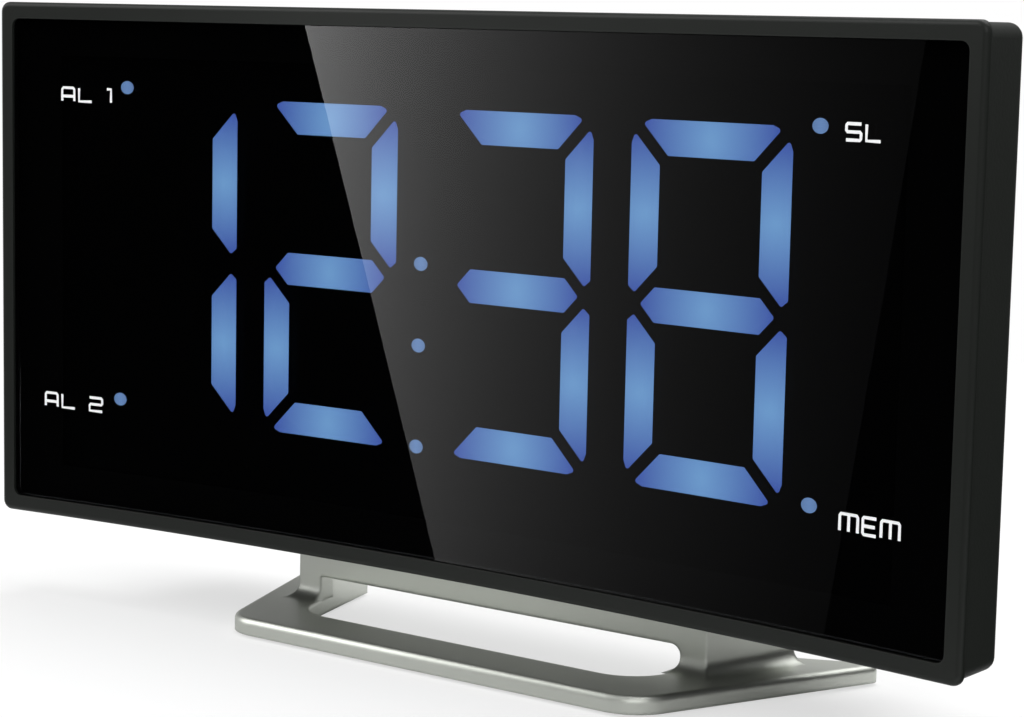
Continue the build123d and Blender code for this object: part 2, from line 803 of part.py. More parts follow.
# Back-up cell: holder on the main board, contact strip, cell and door
holder_side = cell_diameter + 2 * (cell_clearance + holder_wall)
cell_back = hump_inside - door_rib - cell_clearance
cell_front = cell_back - cell_thickness
contact_front = cell_front - glue_gap - contact_sheet
with BuildPart() as cell_holder:
    with BuildSketch(face_plane(main_board_back)):
        with Locations(cell_centre):
            RectangleRounded(holder_side, holder_side, board_corner)
    extrude(amount=-(cell_back - main_board_back))
    with BuildSketch(face_plane(contact_front)):
        with Locations(cell_centre):
            Circle(cell_diameter / 2 + cell_clearance)
    extrude(amount=-hump_depth, mode=Mode.SUBTRACT)
save(cell_holder.part, "cell_holder")
with BuildPart() as cell_contact:
    with BuildSketch(face_plane(contact_front)):
        with Locations(cell_centre):
            SlotOverall(cell_diameter - 2 * holder_wall, cell_thickness)
    extrude(amount=-contact_sheet)
save(cell_contact.part, "cell_contact")
with BuildPart() as backup_cell:
    with BuildSketch(face_plane(cell_front)):
        with Locations(cell_centre):
            Circle(cell_diameter / 2)
    extrude(amount=-cell_thickness)
    chamfer(backup_cell.edges().filter_by(GeomType.CIRCLE), cell_bevel)
save(backup_cell.part, "backup_cell")
with BuildPart() as battery_door:
    with BuildSketch(face_plane(hump_inside)):
        with Locations(cell_centre):
            RectangleRounded(door_width, door_height, door_corner)
    extrude(amount=-wall)
    with BuildSketch(face_plane(hump_inside - door_rib)):
        with Locations(cell_centre):
            RectangleRounded(door_width - door_lip, door_height - door_lip, door_corner - door_lip / 2)
            RectangleRounded(door_width - 3 * door_lip, door_height - 3 * door_lip, door_corner / 4,
                             mode=Mode.SUBTRACT)
    extrude(amount=-door_rib)
    # Finger notch at the door's lower edge
    with BuildSketch(face_plane(hump_depth - wall / 2)):
        with Locations((cell_centre[0], cell_centre[1] - door_height / 2)):
            Circle(finger_notch)
    extrude(amount=-wall, mode=Mode.SUBTRACT)
save(battery_door.part, "battery_door")

# Low-voltage inlet, antenna gland and dimmer switch
with BuildPart() as power_inlet:
    with BuildSketch(face_plane(main_board_back)):
        with Locations(inlet_centre):
            RectangleRounded(inlet_width, inlet_height, block_corner)
    extrude(amount=-(hump_inside - main_board_back))
    with BuildSketch(face_plane(hump_inside)):
        with Locations(inlet_centre):
            Circle(inlet_nose / 2)
    extrude(amount=-wall)
    with BuildSketch(face_plane(hump_depth - socket_depth)):
        with Locations(inlet_centre):
            Circle(inlet_socket / 2)
            Circle(inlet_pin / 2, mode=Mode.SUBTRACT)
    extrude(amount=-socket_depth, mode=Mode.SUBTRACT)
save(power_inlet.part, "power_inlet")
gland_radius = gland_diameter / 2
gland_flange = gland_radius + gland_lip
gland_mouth = gland_bore / 2
gland_front = hump_inside - gland_lip
gland_back = hump_depth + gland_lip
gland_section = [(gland_mouth, gland_front), (gland_flange, gland_front), (gland_flange, hump_inside),
                 (gland_radius, hump_inside), (gland_radius, hump_depth), (gland_flange, hump_depth),
                 (gland_radius, gland_back), (gland_mouth, gland_back)]
save(turned(gland_centre, gland_section), "antenna_gland")
knob_front = hump_inside - dimmer_knob_reach
with BuildPart() as dimmer_switch:
    with BuildSketch(face_plane(hump_inside - dimmer_case_depth)):
        with Locations(dimmer_centre):
            Rectangle(dimmer_case_width, dimmer_case_height)
    extrude(amount=-dimmer_case_depth)
    with BuildSketch(face_plane(knob_front - fit_gap)):
        with Locations(dimmer_centre):
            Rectangle(dimmer_slot_width, dimmer_slot_height)
    extrude(amount=-2 * dimmer_knob_reach, mode=Mode.SUBTRACT)
save(dimmer_switch.part, "dimmer_switch")
with BuildPart() as dimmer_knob:
    with BuildSketch(face_plane(knob_front)):
        with Locations(dimmer_centre):
            Rectangle(dimmer_slot_width - 2 * dimmer_travel - 2 * button_gap,
                      dimmer_slot_height - 2 * button_gap)
    extrude(amount=-(hump_depth + dimmer_proud - knob_front))
    chamfer(dimmer_knob.faces().sort_by(Axis.Y)[-1].edges(), dimmer_bevel)
save(dimmer_knob.part, "dimmer_knob")


def drum_end(x):
    """A plane square to the drum's axis, facing the hump's far end."""
    return Plane((x, drum_y, drum_height), x_dir=(0, 1, 0), z_dir=(1, 0, 0))


def snout_level(height):
    """A level plane centred on the snout's axis."""
    return Plane((drum_x, drum_y, height))


def snout_section():
    """An upright plane through the snout's axis, for half sections."""
    return Plane((drum_x, drum_y, 0), x_dir=(1, 0, 0), z_dir=(0, -1, 0))


# Projector: the drum with its snout, turning between the bay's cheeks
drum_left = bay_left + drum_gap
drum_right = bay_right - drum_gap
drum_inside = drum_diameter / 2 - drum_wall
film_seat = drum_height + film_reach
with BuildPart() as projector_drum:
    with BuildSketch(drum_end(drum_left)):
        Circle(drum_diameter / 2)
    extrude(amount=drum_length - cap_thickness)
    fillet(projector_drum.faces().sort_by(Axis.X)[0].edges(), drum_edge)
    with BuildSketch(snout_level(drum_height)):
        Circle(snout_diameter / 2)
    extrude(amount=snout_reach)
    with BuildSketch(drum_end(drum_left + drum_wall)):
        Circle(drum_inside)
    extrude(amount=drum_length, mode=Mode.SUBTRACT)
    with BuildSketch(snout_level(film_seat - film_shelf)):
        Circle(snout_diameter / 2)
    extrude(amount=snout_top - film_seat + film_shelf)
    with BuildSketch(snout_level(film_seat)):
        Circle(lens_bore / 2)
        with Locations((lens_bore / 2, 0)):
            Rectangle(2 * key_height, key_width + 2 * fit_gap)
    extrude(amount=snout_reach, mode=Mode.SUBTRACT)
    with BuildSketch(snout_level(drum_height)):
        Circle(lens_bore / 2 - film_shelf)
    extrude(amount=snout_reach, mode=Mode.SUBTRACT)
    with BuildSketch(drum_end(drum_left)):
        Circle(pivot_diameter / 2)
    extrude(amount=-pivot_length)
save(projector_drum.part, "projector_drum")

cheek_back = bay_right + wall
clip_left = cheek_back + fit_gap
pivot_end = clip_left + 3 * clip_thickness
with BuildPart() as projector_end_cap:
    with BuildSketch(drum_end(drum_right - cap_thickness)):
        Circle(drum_diameter / 2)
    extrude(amount=cap_thickness)
    fillet(projector_end_cap.faces().sort_by(Axis.X)[-1].edges(), drum_edge)
    with BuildSketch(drum_end(drum_right - cap_thickness)):
        Circle(drum_inside - slide_gap)
    extrude(amount=-cap_spigot)
    with BuildSketch(drum_end(drum_right)):
        Circle(hollow_pivot_diameter / 2)
    extrude(amount=pivot_end - drum_right)
    with BuildSketch(drum_end(clip_left)):
        Circle(hollow_pivot_diameter / 2)
        Circle(hollow_pivot_diameter / 2 - clip_bite, mode=Mode.SUBTRACT)
    extrude(amount=clip_thickness + fit_gap, mode=Mode.SUBTRACT)
    with BuildSketch(drum_end(drum_right - cap_thickness - cap_spigot)):
        Circle(hollow_pivot_bore / 2)
    extrude(amount=drum_length, mode=Mode.SUBTRACT)
save(projector_end_cap.part, "projector_end_cap")
with BuildPart() as projector_clip:
    with BuildSketch(drum_end(clip_left + fit_gap / 2)):
        Circle(hollow_pivot_diameter / 2 + clip_reach)
        Circle(hollow_pivot_diameter / 2 - clip_bite + slide_gap, mode=Mode.SUBTRACT)
        with Locations((hollow_pivot_diameter / 2, 0)):
            Rectangle(hollow_pivot_diameter, hollow_pivot_bore, mode=Mode.SUBTRACT)
    extrude(amount=clip_thickness)
save(projector_clip.part, "projector_clip")

# Lamp and its board inside the drum, and the film that carries the time
lamp_board_bottom = drum_height - lamp_board_drop
lamp_board_half = sqrt(drum_inside**2 - lamp_board_drop**2) - fit_gap
lamp_board_top = lamp_board_bottom + lamp_board_thickness
with BuildPart() as lamp_board:
    with BuildSketch(snout_level(lamp_board_bottom)):
        Rectangle(lamp_board_length, 2 * lamp_board_half)
    extrude(amount=lamp_board_thickness)
save(lamp_board.part, "lamp_board")
with BuildPart() as projector_lamp:
    with BuildSketch(snout_section()):
        with BuildLine():
            radius = lamp_diameter / 2
            dome_root = lamp_board_top + lamp_diameter
            rim_top = lamp_board_top + lamp_rim
            Polyline((0, dome_root + radius), (0, lamp_board_top), (radius + lamp_rim / 2, lamp_board_top),
                     (radius + lamp_rim / 2, rim_top), (radius, rim_top), (radius, dome_root))
            TangentArc((radius, dome_root), (0, dome_root + radius), tangent=(0, 1))
        make_face()
    revolve(axis=Axis((drum_x, drum_y, 0), (0, 0, 1)))
save(projector_lamp.part, "projector_lamp")
with BuildPart() as time_film:
    with BuildSketch(snout_level(film_seat)):
        Circle(lens_bore / 2 - slide_gap)
    extrude(amount=film_thickness)
    with BuildSketch(snout_level(film_seat + film_thickness / 2)):
        Rectangle(film_width, film_height)
    extrude(amount=film_thickness, mode=Mode.SUBTRACT)
save(time_film.part, "time_film")

# Lens in its keyed cell, and the ribbed ring that drives the cell up and down
cell_bottom = film_seat + film_thickness + 2 * focus_travel
crown_bottom = snout_top + focus_travel + fit_gap
crown_top = crown_bottom + crown_height
lens_seat = crown_top - lens_thickness
with BuildPart() as lens_cell:
    with BuildSketch(snout_level(cell_bottom)):
        Circle(lens_bore / 2 - slide_gap)
        with Locations((lens_bore / 2 - slide_gap, 0)):
            Rectangle(2 * (key_height - fit_gap), key_width)
    extrude(amount=snout_top - focus_travel - fit_gap - cell_bottom)
    with BuildSketch(snout_level(cell_bottom)):
        Circle(lens_bore / 2 - slide_gap)
    extrude(amount=crown_bottom - cell_bottom)
    with BuildSketch(snout_level(crown_bottom)):
        Circle(crown_diameter / 2)
    extrude(amount=crown_height)
    with BuildSketch(snout_level(cell_bottom)):
        Circle(lens_diameter / 2 - lens_ledge)
    extrude(amount=snout_reach, mode=Mode.SUBTRACT)
    with BuildSketch(snout_level(lens_seat)):
        Circle(lens_diameter / 2 + slide_gap)
    extrude(amount=snout_reach, mode=Mode.SUBTRACT)
save(lens_cell.part, "lens_cell")
with BuildPart() as projection_lens:
    with BuildSketch(snout_section()):
        with BuildLine():
            radius = lens_diameter / 2
            dome_top = lens_seat + lens_thickness - fit_gap
            Polyline((0, dome_top), (0, lens_seat), (radius, lens_seat), (radius, lens_seat + lens_rim))
            TangentArc((0, dome_top), (radius, lens_seat + lens_rim), tangent=(1, 0))
        make_face()
    revolve(axis=Axis((drum_x, drum_y, 0), (0, 0, 1)))
save(projection_lens.part, "projection_lens")
ring_lip = snout_top + fit_gap
with BuildPart() as focus_ring:
    with BuildSketch(snout_level(crown_top + ring_cover - ring_height)):
        Circle(ring_diameter / 2 - ring_rib)
        with PolarLocations(ring_diameter / 2 - ring_rib, ring_ribs):
            Rectangle(2 * ring_rib, ring_rib_width)
    extrude(amount=ring_height)
    with BuildSketch(snout_level(drum_height)):
        Circle(snout_diameter / 2 + slide_gap)
    extrude(amount=ring_lip - drum_height, mode=Mode.SUBTRACT)
    with BuildSketch(snout_level(drum_height)):
        Circle(crown_diameter / 2 + fit_gap)
    extrude(amount=2 * snout_reach, mode=Mode.SUBTRACT)
save(focus_ring.part, "focus_ring")

# Stand: a flared base plate with two wings and an open slot, and a hollow neck with an arched front
def flared_block(bottom, top, front, back, front_half, front_corner=0):
    """An upright block whose sides spread towards its back, with its front corners rounded if asked."""
    back_half = front_half + side_flare * (back - front)
    with BuildPart() as block:
        with BuildSketch(level(bottom)) as plan:
            with BuildLine():
                Polyline((-front_half, front), (front_half, front), (back_half, back), (-back_half, back),
                         close=True)
            make_face()
            if front_corner:
                fillet(plan.vertices().sort_by(Axis.Y)[:2], front_corner)
        extrude(amount=top - bottom)
    return block.part


def slot_half(depth):
    """Half the width of the slot, and of the neck's hollow above it, at a depth."""
    return slot_front_width / 2 + side_flare * (depth - slot_front)


hollow_front = neck_front + neck_wall
hollow_top = stand_height - neck_top
neck_block = flared_block(base_top, stand_height, neck_front, neck_back, neck_width / 2)
neck_hollow = flared_block(base_top, hollow_top, hollow_front, base_back, slot_half(hollow_front))
slot = flared_block(0, base_top, slot_front, base_back, slot_front_width / 2, slot_front_corner)
base_flare = (base_back_width - base_front_width) / 2 / (base_front + base_back)
tip_half = base_back_width / 2 + base_flare * base_tip
tip_back = base_back + base_tip
wing_edge = base_front_width / 2 + base_flare * (base_front + back_foot_depth)
wing_middle = (slot_half(back_foot_depth) + wing_edge) / 2
foot_places = [(side * front_foot_spread / 2, (slot_front - base_front) / 2) for side in (-1, 1)]
foot_places += [(side * wing_middle, back_foot_depth) for side in (-1, 1)]
with BuildPart() as stand:
    with BuildSketch(level(base_bottom)) as base_plan:
        with BuildLine():
            Polyline((-base_front_width / 2, -base_front), (base_front_width / 2, -base_front),
                     (tip_half, tip_back), (notch_width / 2, notch_start),
                     (-notch_width / 2, notch_start), (-tip_half, tip_back), close=True)
        make_face()
        fillet(base_plan.vertices().sort_by(Axis.Y)[:2], base_front_corner)
        fillet(base_plan.vertices().sort_by(Axis.Y)[-2:], base_back_corner)
    extrude(amount=base_thickness)
    fillet(stand.faces().sort_by(Axis.Z)[-1].edges(), base_edge_round)
    add(neck_block)
    # The neck flares out into the plate at its front and sides
    neck_foot = stand.edges().filter_by_position(Axis.Z, base_top - fit_gap, base_top + fit_gap)
    neck_foot = neck_foot.filter_by(GeomType.LINE)
    neck_foot = neck_foot.filter_by(lambda edge: abs(edge.center().X) <= neck_width / 2 + neck_flare)
    neck_foot = neck_foot.filter_by(lambda edge: neck_front - fit_gap <= edge.center().Y - face_y
                                    <= neck_screw_depth + fit_gap)
    fillet(neck_foot, neck_flare)
    add(slot, mode=Mode.SUBTRACT)
    add(neck_hollow, mode=Mode.SUBTRACT)
    with BuildSketch(face_plane(neck_front - 2 * neck_flare)) as neck_window:
        with Locations((0, base_top)):
            Rectangle(neck_inside, window_gap, align=(Align.CENTER, Align.MIN))
        fillet(neck_window.vertices().sort_by(Axis.Z)[-2:], window_gap_corner)
    extrude(amount=-(2 * neck_flare + 2 * neck_wall), mode=Mode.SUBTRACT)
    with BuildSketch(level(hollow_top)):
        with Locations([(x, neck_screw_depth) for x in stand_screw_places]):
            Circle(stand_screw_diameter / 2 + screw_gap)
    extrude(amount=neck_top, mode=Mode.SUBTRACT)
    with BuildSketch(level(base_bottom)):
        with Locations(foot_places):
            Circle(foot_diameter / 2 + slide_gap)
    extrude(amount=foot_thickness - foot_proud, mode=Mode.SUBTRACT)
save(stand.part, "stand")
save(screws(level(hollow_top), [(x, neck_screw_depth) for x in stand_screw_places],
            stand_screw_diameter, stand_screw_length, stand_head_diameter, stand_head_height),
     "stand_screws")
with BuildPart() as stand_feet:
    with BuildSketch(level(0)):
        with Locations(foot_places):
            Circle(foot_diameter / 2)
    extrude(amount=foot_thickness)
save(stand_feet.part, "stand_feet")
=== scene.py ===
# %% [markdown]
# # Dressing a projection alarm clock
# The clock comes from the CAD side as forty-nine separate pieces: a slim frame round a smoked, curved
# window, a rear casing full of works, a little projector and a silver stand. This lesson gives each of
# them its finish, lights the display, prints the small marks, and puts the clock in a plain white studio.
# The solids stay as they are. New pieces are added only where the real clock has something too fine
# for the CAD: printed letters and signs, the window's black border, the cloth behind the loudspeaker
# slots, and the glow of each segment.

# %% Load the clock
import math

import bmesh
import bpy
from mathutils import Matrix, Vector
from mathutils.bvhtree import BVHTree


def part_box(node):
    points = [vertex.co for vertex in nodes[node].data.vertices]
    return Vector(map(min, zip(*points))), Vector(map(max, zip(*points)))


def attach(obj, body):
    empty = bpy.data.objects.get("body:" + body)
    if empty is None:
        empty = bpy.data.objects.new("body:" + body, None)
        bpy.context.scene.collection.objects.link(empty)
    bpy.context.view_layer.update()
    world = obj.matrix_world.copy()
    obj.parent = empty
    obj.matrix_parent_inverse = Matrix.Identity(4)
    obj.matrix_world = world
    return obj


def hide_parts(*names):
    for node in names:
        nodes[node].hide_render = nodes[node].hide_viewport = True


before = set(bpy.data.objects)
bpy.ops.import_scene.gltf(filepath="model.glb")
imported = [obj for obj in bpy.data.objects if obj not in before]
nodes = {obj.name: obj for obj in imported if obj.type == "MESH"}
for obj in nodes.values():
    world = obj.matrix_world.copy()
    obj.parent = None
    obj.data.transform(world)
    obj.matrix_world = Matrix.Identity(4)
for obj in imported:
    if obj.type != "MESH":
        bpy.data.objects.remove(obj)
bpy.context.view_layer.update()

# %% [markdown]
# ## Sizes that the scene shares with the solids
# The printed letters, the black border and the card that the window mirrors all follow the curve of the
# face, so the scene needs the same few sizes that shaped it. They are written once here, in metres, and
# everything else is worked out from them or read from the boxes of the solids. Reading a box is safer
# than repeating a number.

# %% Shared sizes
MM = 0.001
window_low, window_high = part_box("display_window")
bezel_low, bezel_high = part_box("front_bezel")
face_radius = 609.0 * MM
window_sink = 0.3 * MM
half_width = (bezel_high.x - bezel_low.x) / 2
bow = face_radius - math.sqrt(face_radius**2 - half_width**2)
face_y = bezel_low.y + bow
face_centre = (bezel_low.z + bezel_high.z) / 2
print(f"the middle of the face is at y {face_y / MM:.2f} mm, z {face_centre / MM:.2f} mm")


def on_face(x, z, depth):
    """A point a depth behind the curved face, from its place in the front view."""
    y = face_y - face_radius + math.sqrt((face_radius + depth) ** 2 - x**2)
    return Vector((x, y, z))


# %% [markdown]
# ## The camera
# The photograph was taken from the reader's right, a little above the clock, with a long lens. Its
# place was found by fitting the corners of the frame and of the digits, so it is given as plain
# numbers: where the lens is, and how far it turns to the left, tips down and leans, in radians.

# %% Camera
camera_place = Vector((0.21052, -0.27844, 0.08591))
turn, tip, lean = 0.6453, 0.1294, 0.0208
lens_mm = 91.32
camera = bpy.data.objects.new("camera", bpy.data.cameras.new("camera"))
bpy.context.scene.collection.objects.link(camera)
camera.data.lens = lens_mm
camera.data.sensor_width = 36.0
camera.data.clip_start = 0.01
camera.matrix_world = (Matrix.Translation(camera_place) @ Matrix.Rotation(turn, 4, "Z")
                       @ Matrix.Rotation(math.pi / 2 - tip, 4, "X") @ Matrix.Rotation(lean, 4, "Z"))
bpy.context.scene.camera = camera
print(f"camera with a {camera.data.lens:.1f} mm lens")

# %% [markdown]
# ## Node helpers
# Every finish below is a small tree of shader nodes. Four short helpers keep the trees readable: one
# starts a material with its main shader, one adds a node and wires its inputs in a single line, one
# starts a group of nodes, and one gives a finished material to the pieces that are made of it.

# %% Node helpers


def start_material(name, colour, roughness, metallic=0.0):
    """A new material and its main shader, with the plain values set on the shader's own sockets."""
    material = bpy.data.materials.new(name)
    material.use_nodes = True
    shader = material.node_tree.nodes["Principled BSDF"]
    shader.inputs["Base Color"].default_value = (*colour, 1)
    shader.inputs["Roughness"].default_value = roughness
    shader.inputs["Metallic"].default_value = metallic
    return material, shader


def add_node(tree, kind, settings=None, **inputs):
    """Adds a node, sets its own settings, and sets or wires each input named with underscores."""
    node = tree.nodes.new(kind)
    for key, value in (settings or {}).items():
        setattr(node, key, value)
    for key, value in inputs.items():
        socket = node.inputs[int(key[1:])] if key[0] == "_" else node.inputs[key.replace("_", " ")]
        if isinstance(value, bpy.types.NodeSocket):
            tree.links.new(value, socket)
        else:
            socket.default_value = value
    return node


def new_group(name, inputs, outputs):
    """An empty shader group with named sockets, and its input and output nodes."""
    group = bpy.data.node_groups.new(name, "ShaderNodeTree")
    for label, kind, value in inputs:
        socket = group.interface.new_socket(label, in_out="INPUT", socket_type=kind)
        socket.default_value = value
    for label, kind in outputs:
        group.interface.new_socket(label, in_out="OUTPUT", socket_type=kind)
    return group, group.nodes.new("NodeGroupInput"), group.nodes.new("NodeGroupOutput")


def dress(names, material):
    """Gives CAD nodes a material in place of the plain one."""
    for name in names:
        nodes[name].material_slots[0].material = material
        print(f"{name}: {material.name}")


# %% [markdown]
# ## Shared effect: the skin of moulded plastic
# The tool that moulds a clock's casing is spark eroded, and its fine pits print on every part. Up close
# the skin is a field of tiny rounded grains, and from a step away it only softens the highlights. The
# group gives a height for a Bump node and a roughness that wanders a little, as handled plastic does.

# %% Moulded skin group
FLOAT = "NodeSocketFloat"
moulded_skin, skin_in, skin_out = new_group(
    "moulded_skin",
    [("Grain Scale", FLOAT, 3000.0), ("Roughness", FLOAT, 0.5), ("Wander", FLOAT, 0.06)],
    [("Height", FLOAT), ("Roughness", FLOAT)])
place = add_node(moulded_skin, "ShaderNodeTexCoord")
grains = add_node(moulded_skin, "ShaderNodeTexVoronoi", {"feature": "SMOOTH_F1"},
                  Vector=place.outputs["Object"], Scale=skin_in.outputs["Grain Scale"])
patches = add_node(moulded_skin, "ShaderNodeTexNoise", Vector=place.outputs["Object"], Scale=60.0,
                   Detail=4.0)
centred = add_node(moulded_skin, "ShaderNodeMath", {"operation": "SUBTRACT"}, _0=patches.outputs["Fac"],
                   _1=0.5)
change = add_node(moulded_skin, "ShaderNodeMath", {"operation": "MULTIPLY"}, _0=centred.outputs[0],
                  _1=skin_in.outputs["Wander"])
total = add_node(moulded_skin, "ShaderNodeMath", {"operation": "ADD"}, _0=change.outputs[0],
                 _1=skin_in.outputs["Roughness"])
moulded_skin.links.new(grains.outputs["Distance"], skin_out.inputs["Height"])
moulded_skin.links.new(total.outputs[0], skin_out.inputs["Roughness"])
print("moulded_skin:", [socket.name for socket in moulded_skin.interface.items_tree])

# %% [markdown]
# ## Shared effect: a soft worn edge
# The corners of a dark moulding catch more light than its faces, because hands polish them. The Bevel
# node gives a normal that is rounded over at corners. Where it differs from the true normal there is an
# edge, and the group turns that difference into a mask, which lightens the colour there.

# %% Edge mask group
edge_mask, edge_in, edge_out = new_group("edge_mask", [("Reach", FLOAT, 0.0004), ("Strength", FLOAT, 1.0)],
                                         [("Mask", FLOAT)])
rounded = add_node(edge_mask, "ShaderNodeBevel", {"samples": 4}, Radius=edge_in.outputs["Reach"])
true_normal = add_node(edge_mask, "ShaderNodeNewGeometry")
agreement = add_node(edge_mask, "ShaderNodeVectorMath", {"operation": "DOT_PRODUCT"},
                     _0=rounded.outputs["Normal"], _1=true_normal.outputs["Normal"])
difference = add_node(edge_mask, "ShaderNodeMath", {"operation": "SUBTRACT"}, _0=1.0,
                      _1=agreement.outputs["Value"])
boosted = add_node(edge_mask, "ShaderNodeMath", {"operation": "MULTIPLY", "use_clamp": True},
                   _0=difference.outputs[0], _1=edge_in.outputs["Strength"])
edge_mask.links.new(boosted.outputs[0], edge_out.inputs["Mask"])
print("edge_mask:", [socket.name for socket in edge_mask.interface.items_tree])


def add_skin(material, shader, grain_scale, depth, roughness, wander=0.06):
    """Wires the moulded skin into a material."""
    tree = material.node_tree
    skin = add_node(tree, "ShaderNodeGroup", {"node_tree": moulded_skin}, Grain_Scale=grain_scale,
                    Roughness=roughness, Wander=wander)
    bump = add_node(tree, "ShaderNodeBump", Height=skin.outputs["Height"], Distance=depth, Strength=1.0)
    tree.links.new(skin.outputs["Roughness"], shader.inputs["Roughness"])
    tree.links.new(bump.outputs["Normal"], shader.inputs["Normal"])


def add_edges(material, shader, colour, edge_colour, reach, strength):
    """Wires the edge mask into a material's colour."""
    tree = material.node_tree
    mask = add_node(tree, "ShaderNodeGroup", {"node_tree": edge_mask}, Reach=reach, Strength=strength)
    mix = add_node(tree, "ShaderNodeMix", {"data_type": "RGBA"}, _0=mask.outputs["Mask"], _6=(*colour, 1),
                   _7=(*edge_colour, 1))
    tree.links.new(mix.outputs[2], shader.inputs["Base Color"])


# %% [markdown]
# ## Dark mouldings: frame, casing, buttons, projector
# The frame round the window is a dark grey plastic with a satin skin. The casing behind it has the
# coarser texture of a back cover. The buttons are a little smoother and lighter, because they are
# touched. One function makes the family, so that only the grey and the skin change. The grain scale
# is in grains to the metre, and the depth of a grain is a few thousandths of a millimetre.

# %% Dark mouldings
EDGE_REACH = 0.4 * MM
EDGE_STRENGTH = 1.5
SATIN_SPECULAR = 0.2


def dark_moulding(name, grey, grain_scale, depth, roughness, edge_lift):
    """A dark plastic with a moulded skin and lighter edges."""
    material, shader = start_material(name, grey, roughness)
    shader.inputs["Specular IOR Level"].default_value = SATIN_SPECULAR
    add_skin(material, shader, grain_scale, depth, roughness)
    edge_grey = [value + edge_lift for value in grey]
    add_edges(material, shader, grey, edge_grey, EDGE_REACH, EDGE_STRENGTH)
    return material


frame_plastic = dark_moulding("frame_plastic", (0.010, 0.0117, 0.010), 4200.0, 0.006 * MM, 0.42, 0.012)
casing_plastic = dark_moulding("casing_plastic", (0.011, 0.013, 0.011), 2600.0, 0.012 * MM, 0.55, 0.008)
button_plastic = dark_moulding("button_plastic", (0.020, 0.021, 0.020), 5200.0, 0.004 * MM, 0.38, 0.015)
dress(["front_bezel"], frame_plastic)
dress(["rear_casing", "speaker_grille", "battery_door"], casing_plastic)
button_names = [name for name in nodes if name.endswith("_button")] + ["snooze_bar"]
dress(button_names + ["dimmer_knob", "focus_ring"], button_plastic)
dress(["projector_drum", "projector_end_cap", "lens_cell"], frame_plastic)

# %% [markdown]
# ## The smoked window
# The window is a 1.5 mm plate of smoked acrylic, polished on both sides. It is real glass to the
# renderer: light passes through it, and its surface gives the one hard reflection of the whole clock.
# Its faint waviness comes from a broad, very shallow bump, as on any moulded window.

# %% Smoked window
SMOKE = (0.44, 0.45, 0.48)
window_glass, shader = start_material("smoked_window", SMOKE, 0.0)
shader.inputs["Transmission Weight"].default_value = 1.0
shader.inputs["IOR"].default_value = 1.45
tree = window_glass.node_tree
place = add_node(tree, "ShaderNodeTexCoord")
waves = add_node(tree, "ShaderNodeTexNoise", Vector=place.outputs["Object"], Scale=25.0, Detail=1.0)
bump = add_node(tree, "ShaderNodeBump", Height=waves.outputs["Fac"], Distance=0.004 * MM)
tree.links.new(bump.outputs["Normal"], shader.inputs["Normal"])
dress(["display_window"], window_glass)

# %% [markdown]
# ## Behind the window
# The reflector block is moulded in black with a dull skin, so nothing shows between the segments. The
# diffusers of the segments that are off are tinted as dark, so that they vanish behind the smoke.

# %% Reflector and unlit diffusers
HIDDEN_BLACK = (0.003, 0.003, 0.003)
DULL_SPECULAR = 0.1
reflector_black, shader = start_material("reflector_black", HIDDEN_BLACK, 0.85)
add_skin(reflector_black, shader, 2000.0, 0.001 * MM, 0.85)
shader.inputs["Specular IOR Level"].default_value = DULL_SPECULAR
unlit_diffuser, shader = start_material("unlit_diffuser", HIDDEN_BLACK, 0.8)
add_skin(unlit_diffuser, shader, 3500.0, 0.002 * MM, 0.8)
shader.inputs["Specular IOR Level"].default_value = DULL_SPECULAR
dress(["segment_reflector"], reflector_black)
dress(["unlit_segments"], unlit_diffuser)

# %% [markdown]
# ## The glow of the segments
# Behind every segment sits one small light, so a segment is brightest in its middle and turns a deeper
# blue towards its tips. The glow must follow each segment whichever way it lies. The solid of the lit
# segments is copied, its loose triangles are merged, and each island gets its own UV map: U runs along
# the segment and V across it, with the middle at one half. A material can then read how far along it
# is, and fade from one blue to the other. The blues are amounts of light, so a value may pass 1: the
# smoke of the window takes half of it or more away again.

# %% Islands of a copied solid


def merged_copy(node_name):
    """A bmesh copy of a CAD node with its loose triangles joined."""
    shape = bmesh.new()
    shape.from_mesh(nodes[node_name].data)
    bmesh.ops.remove_doubles(shape, verts=shape.verts, dist=0.001 * MM)
    return shape


def face_islands(shape):
    """The faces of a bmesh in groups that hang together."""
    waiting, islands = set(shape.faces), []
    while waiting:
        island, front = [], [waiting.pop()]
        while front:
            face = front.pop()
            island.append(face)
            beside = {other for edge in face.edges for other in edge.link_faces} & waiting
            waiting -= beside
            front.extend(beside)
        islands.append(island)
    return islands


def finish_piece(name, shape, body, materials, replaced=()):
    """Turns a bmesh into a piece that rides on a body; it takes the materials that it is given."""
    mesh = bpy.data.meshes.new(name)
    shape.to_mesh(mesh)
    shape.free()
    piece = bpy.data.objects.new(name, mesh)
    bpy.context.scene.collection.objects.link(piece)
    for material in materials:
        mesh.materials.append(material)
    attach(piece, body)
    if replaced:
        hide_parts(*replaced)
    print(f"{name}: {len(mesh.polygons)} faces on {body}")
    return piece


# %% Lit material
MIDDLE_BLUE = (0.353, 0.74, 1.28)
TIP_BLUE = (0.11, 0.205, 0.78)
DOT_BLUE = (0.30, 0.54, 1.0)
DOT_RIM_BLUE = (0.23, 0.40, 0.74)
DIFFUSER_TINT = (0.05, 0.08, 0.12)


